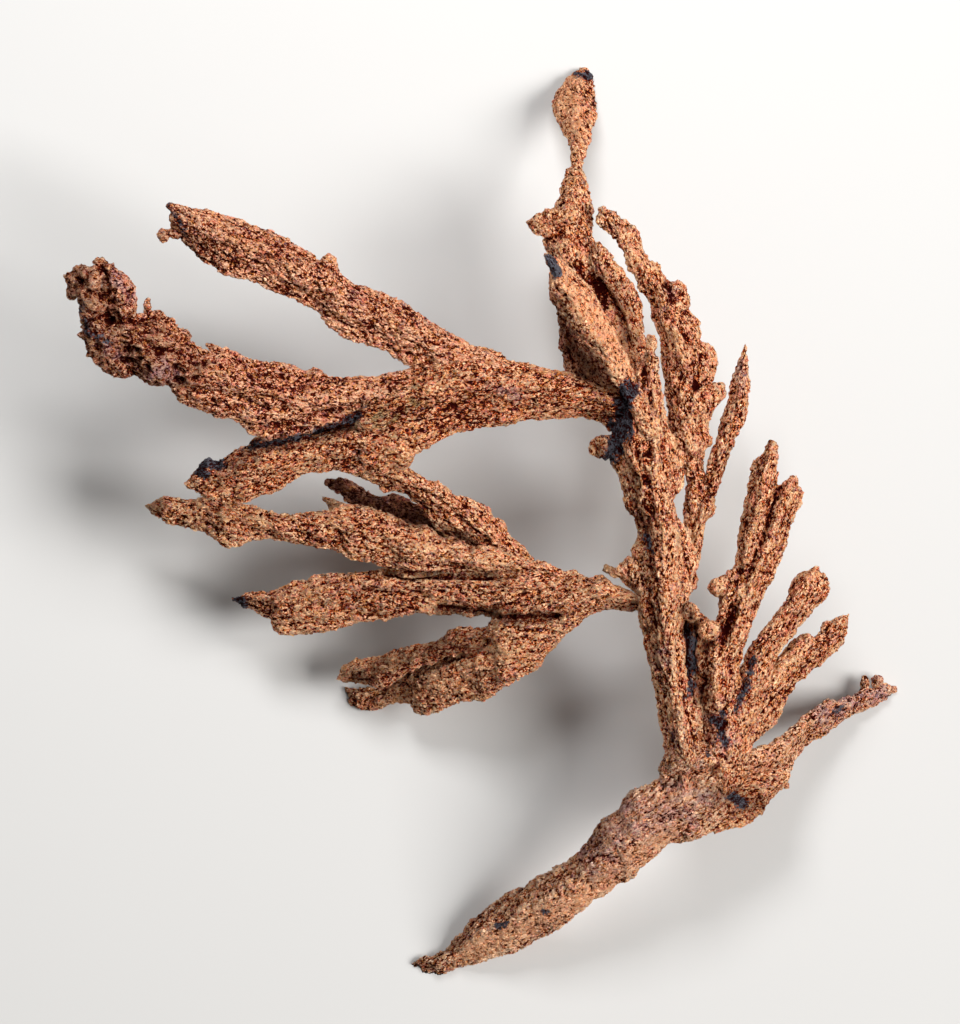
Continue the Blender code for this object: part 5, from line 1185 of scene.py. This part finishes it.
def copper_material(slot, fine_flakes, drifts):
    """Flaky copper: painted shade in the pits from the skin's own relief, each flake its own tint,
    tops brighter with painted light and smoother, with the black, violet, green, pale and brown
    marks over it; the pale marks are partly painted light and the brown ones mostly painted shade."""
    shade, body, tops, painted_glint, metal = FINISH_TONES[slot]
    material = bpy.data.materials.new(slot)
    material.use_nodes = True
    tree = material.node_tree
    shader = tree.nodes["Principled BSDF"]

    def stored(name):
        """What the skin keeps on its points under this name."""
        node = tree.nodes.new("ShaderNodeAttribute")
        node.attribute_name = name
        return node.outputs["Fac"]

    def placed_group(which, size):
        """A shared group in this material, with its size in millimetres."""
        node = tree.nodes.new("ShaderNodeGroup")
        node.node_tree = which
        node.inputs[0].default_value = size
        return node.outputs

    # short names for the nodes that do sums
    def times(first, second):
        return math_node(tree, "MULTIPLY", first, second)

    def plus(first, second):
        return math_node(tree, "ADD", first, second)

    def less(first, second):
        return math_node(tree, "SUBTRACT", first, second)

    def ranged(value, limits):
        return stretched_range(tree, value, *limits)

    coarse = placed_group(fine_flakes, COARSE_SIZE)
    fine = placed_group(fine_flakes, FINE_SIZE)
    drift = placed_group(drifts, DRIFT_SIZE)
    tint = stored("tint")
    black = stored("black")
    pale = stored("pale")
    # painted shade and light: the relief darkens the pits and lightens the tops
    level = plus(times(stored("relief"), RELIEF_WEIGHT), LEVEL_START)
    level = plus(level, stored("lift"))
    moved_by = {
        "coarse tint": coarse["Tint"],
        "fine tint": fine["Tint"],
        "flake tint": tint,
        "hollow": ranged(stored("hollow"), HOLLOW_RANGE),
        "drift": drift["Wide"],
    }
    for name, (middle, weight) in LEVEL_WEIGHTS.items():
        level = plus(level, times(less(moved_by[name], middle), weight))
    seam_share = less(1.0, times(pale, PALE_SEAMS))
    for seam, weight in ((coarse["Seam"], COARSE_SEAM), (fine["Seam"], FINE_SEAM)):
        level = plus(level, times(times(seam, seam_share), weight))
    level = plus(level, plus(times(black, BLACK_LIFT), times(pale, PALE_LIFT)))
    colour = mixed(tree, ranged(level, SHADE_TO_BODY), shade, body)
    # painted light: the brighter tops and the glints where the level is high
    colour = mixed(tree, ranged(level, BODY_TO_TOPS), colour, tops)
    colour = mixed(tree, ranged(level, TOPS_TO_GLINT), colour, painted_glint)
    picked_by = {"flake tint": tint, "coarse hue": coarse["Hue"], "fine hue": fine["Hue"]}
    for name, limits, share, tone in ODD_FLAKES:
        colour = mixed(tree, times(ranged(picked_by[name], limits), share), colour, tone)
    warm = mixed(tree, ORANGE_SHARE, colour, ORANGE, "SOFT_LIGHT")
    colour = mixed(tree, times(drift["Wide"], ORANGE_SHARE), colour, warm)
    # partly painted light: the pale marks along the spike's lower side
    colour = mixed(tree, times(pale, PALE_SHARE), colour, PEACH)
    # mostly painted shade: dark brown over the clefts, the sides that face away, and the curl
    colour = mixed(tree, times(stored("brown"), BROWN_SHARE), colour, PAINTED_SHADE_UMBER)
    verdigris = times(stored("green"), ranged(drift["Close"], GREEN_RANGE))
    colour = mixed(tree, times(verdigris, GREEN_SHARE), colour, VERDIGRIS)
    tarnish = plus(drift["Close"], times(coarse["Tint"], VIOLET_FLAKES))
    tarnish = times(stored("violet"), ranged(tarnish, VIOLET_RANGE))
    colour = mixed(tree, times(tarnish, VIOLET_SHARE), colour, TARNISH)
    crust = black
    for flakes_tint, share in zip((coarse["Tint"], fine["Tint"]), CRUST_FLAKES):
        crust = plus(crust, times(less(flakes_tint, 0.5), share))
    crust = ranged(crust, CRUST_RANGE)
    # painted highlight on the crust where the level is high
    crust_tone = mixed(tree, ranged(level, CRUST_LEVELS), CRUST, CRUST_PAINTED_GLINT)
    colour = mixed(tree, crust, colour, crust_tone)
    # painted shade, partly dark oxide: near black where the level is low, in pits, seams and
    # hollows
    colour = mixed(tree, less(1.0, ranged(level, PIT_LEVELS)), colour, OXIDE_AND_PIT_SHADE)
    tree.links.new(colour, shader.inputs["Base Color"])
    clean = times(ranged(level, CLEAN_LEVELS), less(1.0, crust))
    tree.links.new(times(clean, metal), shader.inputs["Metallic"])
    roughest, smoother = ROUGHNESS
    tree.links.new(less(roughest, times(clean, smoother)), shader.inputs["Roughness"])
    shader.inputs["Specular IOR Level"].default_value = GLOSS
    bump = tree.nodes.new("ShaderNodeBump")
    bump.inputs["Distance"].default_value = BUMP_MM * MM
    bump.inputs["Strength"].default_value = 1.0
    tree.links.new(plus(coarse["Height"], times(fine["Height"], FINE_BUMP)), bump.inputs["Height"])
    tree.links.new(bump.outputs[0], shader.inputs["Normal"])
    return material


# --------------------------------------------------------------- floor, light, camera
CAMERA_AWAY = 2.0          # metres above the specimen's middle
VIEW_HEIGHT = 0.1024       # metres of the specimen's plane seen from top to bottom
SENSOR = 36.0              # mm, across the longer side
FAR = 20.0                 # metres, past which nothing is drawn
AIM = (-0.00016, 0.00102, 0.012)
FLOOR_HALF = 2.5           # metres
FLOOR_TONE = (0.59, 0.586, 0.58)
FLOOR_ROUGHNESS = 0.7
SKY_TONE = (1.0, 0.985, 0.97)
SKY_STRENGTH = 0.15
# Each light: azimuth and elevation in degrees, distance and size in metres, power in watts
# and colour. The window is the broad one from the right, the lamp the small near one from
# the top, which gives the sharper shadows.
LIGHTS = {
    "window": (-4.0, 40.0, 1.15, 0.59, 19.2, (1.0, 0.985, 0.96)),
    "lamp": (92.0, 50.0, 0.24, 0.08, 0.40, (1.0, 1.0, 1.0)),
}


def floor():
    """A plain pale square at z = 0, wide enough to fill every view."""
    half = FLOOR_HALF
    corners = [(-half, -half, 0.0), (half, -half, 0.0), (half, half, 0.0), (-half, half, 0.0)]
    mesh = mesh_of("floor", corners, [(0, 1, 2, 3)])
    thing = linked("floor", mesh)
    material = bpy.data.materials.new("pale_floor")
    material.use_nodes = True
    shader = material.node_tree.nodes["Principled BSDF"]
    shader.inputs["Base Color"].default_value = (*FLOOR_TONE, 1.0)
    shader.inputs["Roughness"].default_value = FLOOR_ROUGHNESS
    mesh.materials.append(material)


def soft_light(name, azimuth, elevation, away, size, power, colour):
    """A square soft light, aimed at the specimen's middle."""
    data = bpy.data.lights.new(name, "AREA")
    data.size = size
    data.energy = power
    data.color = colour
    lamp = linked(name, data)
    a = math.radians(azimuth)
    e = math.radians(elevation)
    out = np.array((math.cos(e) * math.cos(a), math.cos(e) * math.sin(a), math.sin(e)))
    lamp.location = np.array(AIM) + out * away
    lamp.rotation_euler = (math.pi / 2 - e, 0.0, a + math.pi / 2)


def surroundings():
    """A dim pale sky all round, and the soft lights."""
    world = bpy.data.worlds.new("studio")
    bpy.context.scene.world = world
    world.use_nodes = True
    sky = world.node_tree.nodes["Background"]
    sky.inputs["Color"].default_value = (*SKY_TONE, 1.0)
    sky.inputs["Strength"].default_value = SKY_STRENGTH
    for name, light in LIGHTS.items():
        soft_light(name, *light)


def camera():
    """The camera looks straight down at the specimen's middle from far away. Its lens is the
    sensor's width times the distance over the height in view."""
    data = bpy.data.cameras.new("camera")
    data.sensor_width = SENSOR
    data.lens = SENSOR * CAMERA_AWAY / VIEW_HEIGHT
    data.clip_end = FAR
    thing = linked("camera", data)
    thing.location = (AIM[0], AIM[1], AIM[2] + CAMERA_AWAY)
    bpy.context.scene.camera = thing


bpy.context.scene.view_settings.view_transform = "Standard"
camera()
floor()
surroundings()
shared = (fine_flakes_group(), drift_group())
FINISHES = {slot: copper_material(slot, *shared) for slot in FINISH_TONES}
for branch, branch_plan in BRANCHES.items():
    branch_piece(branch, branch_plan)
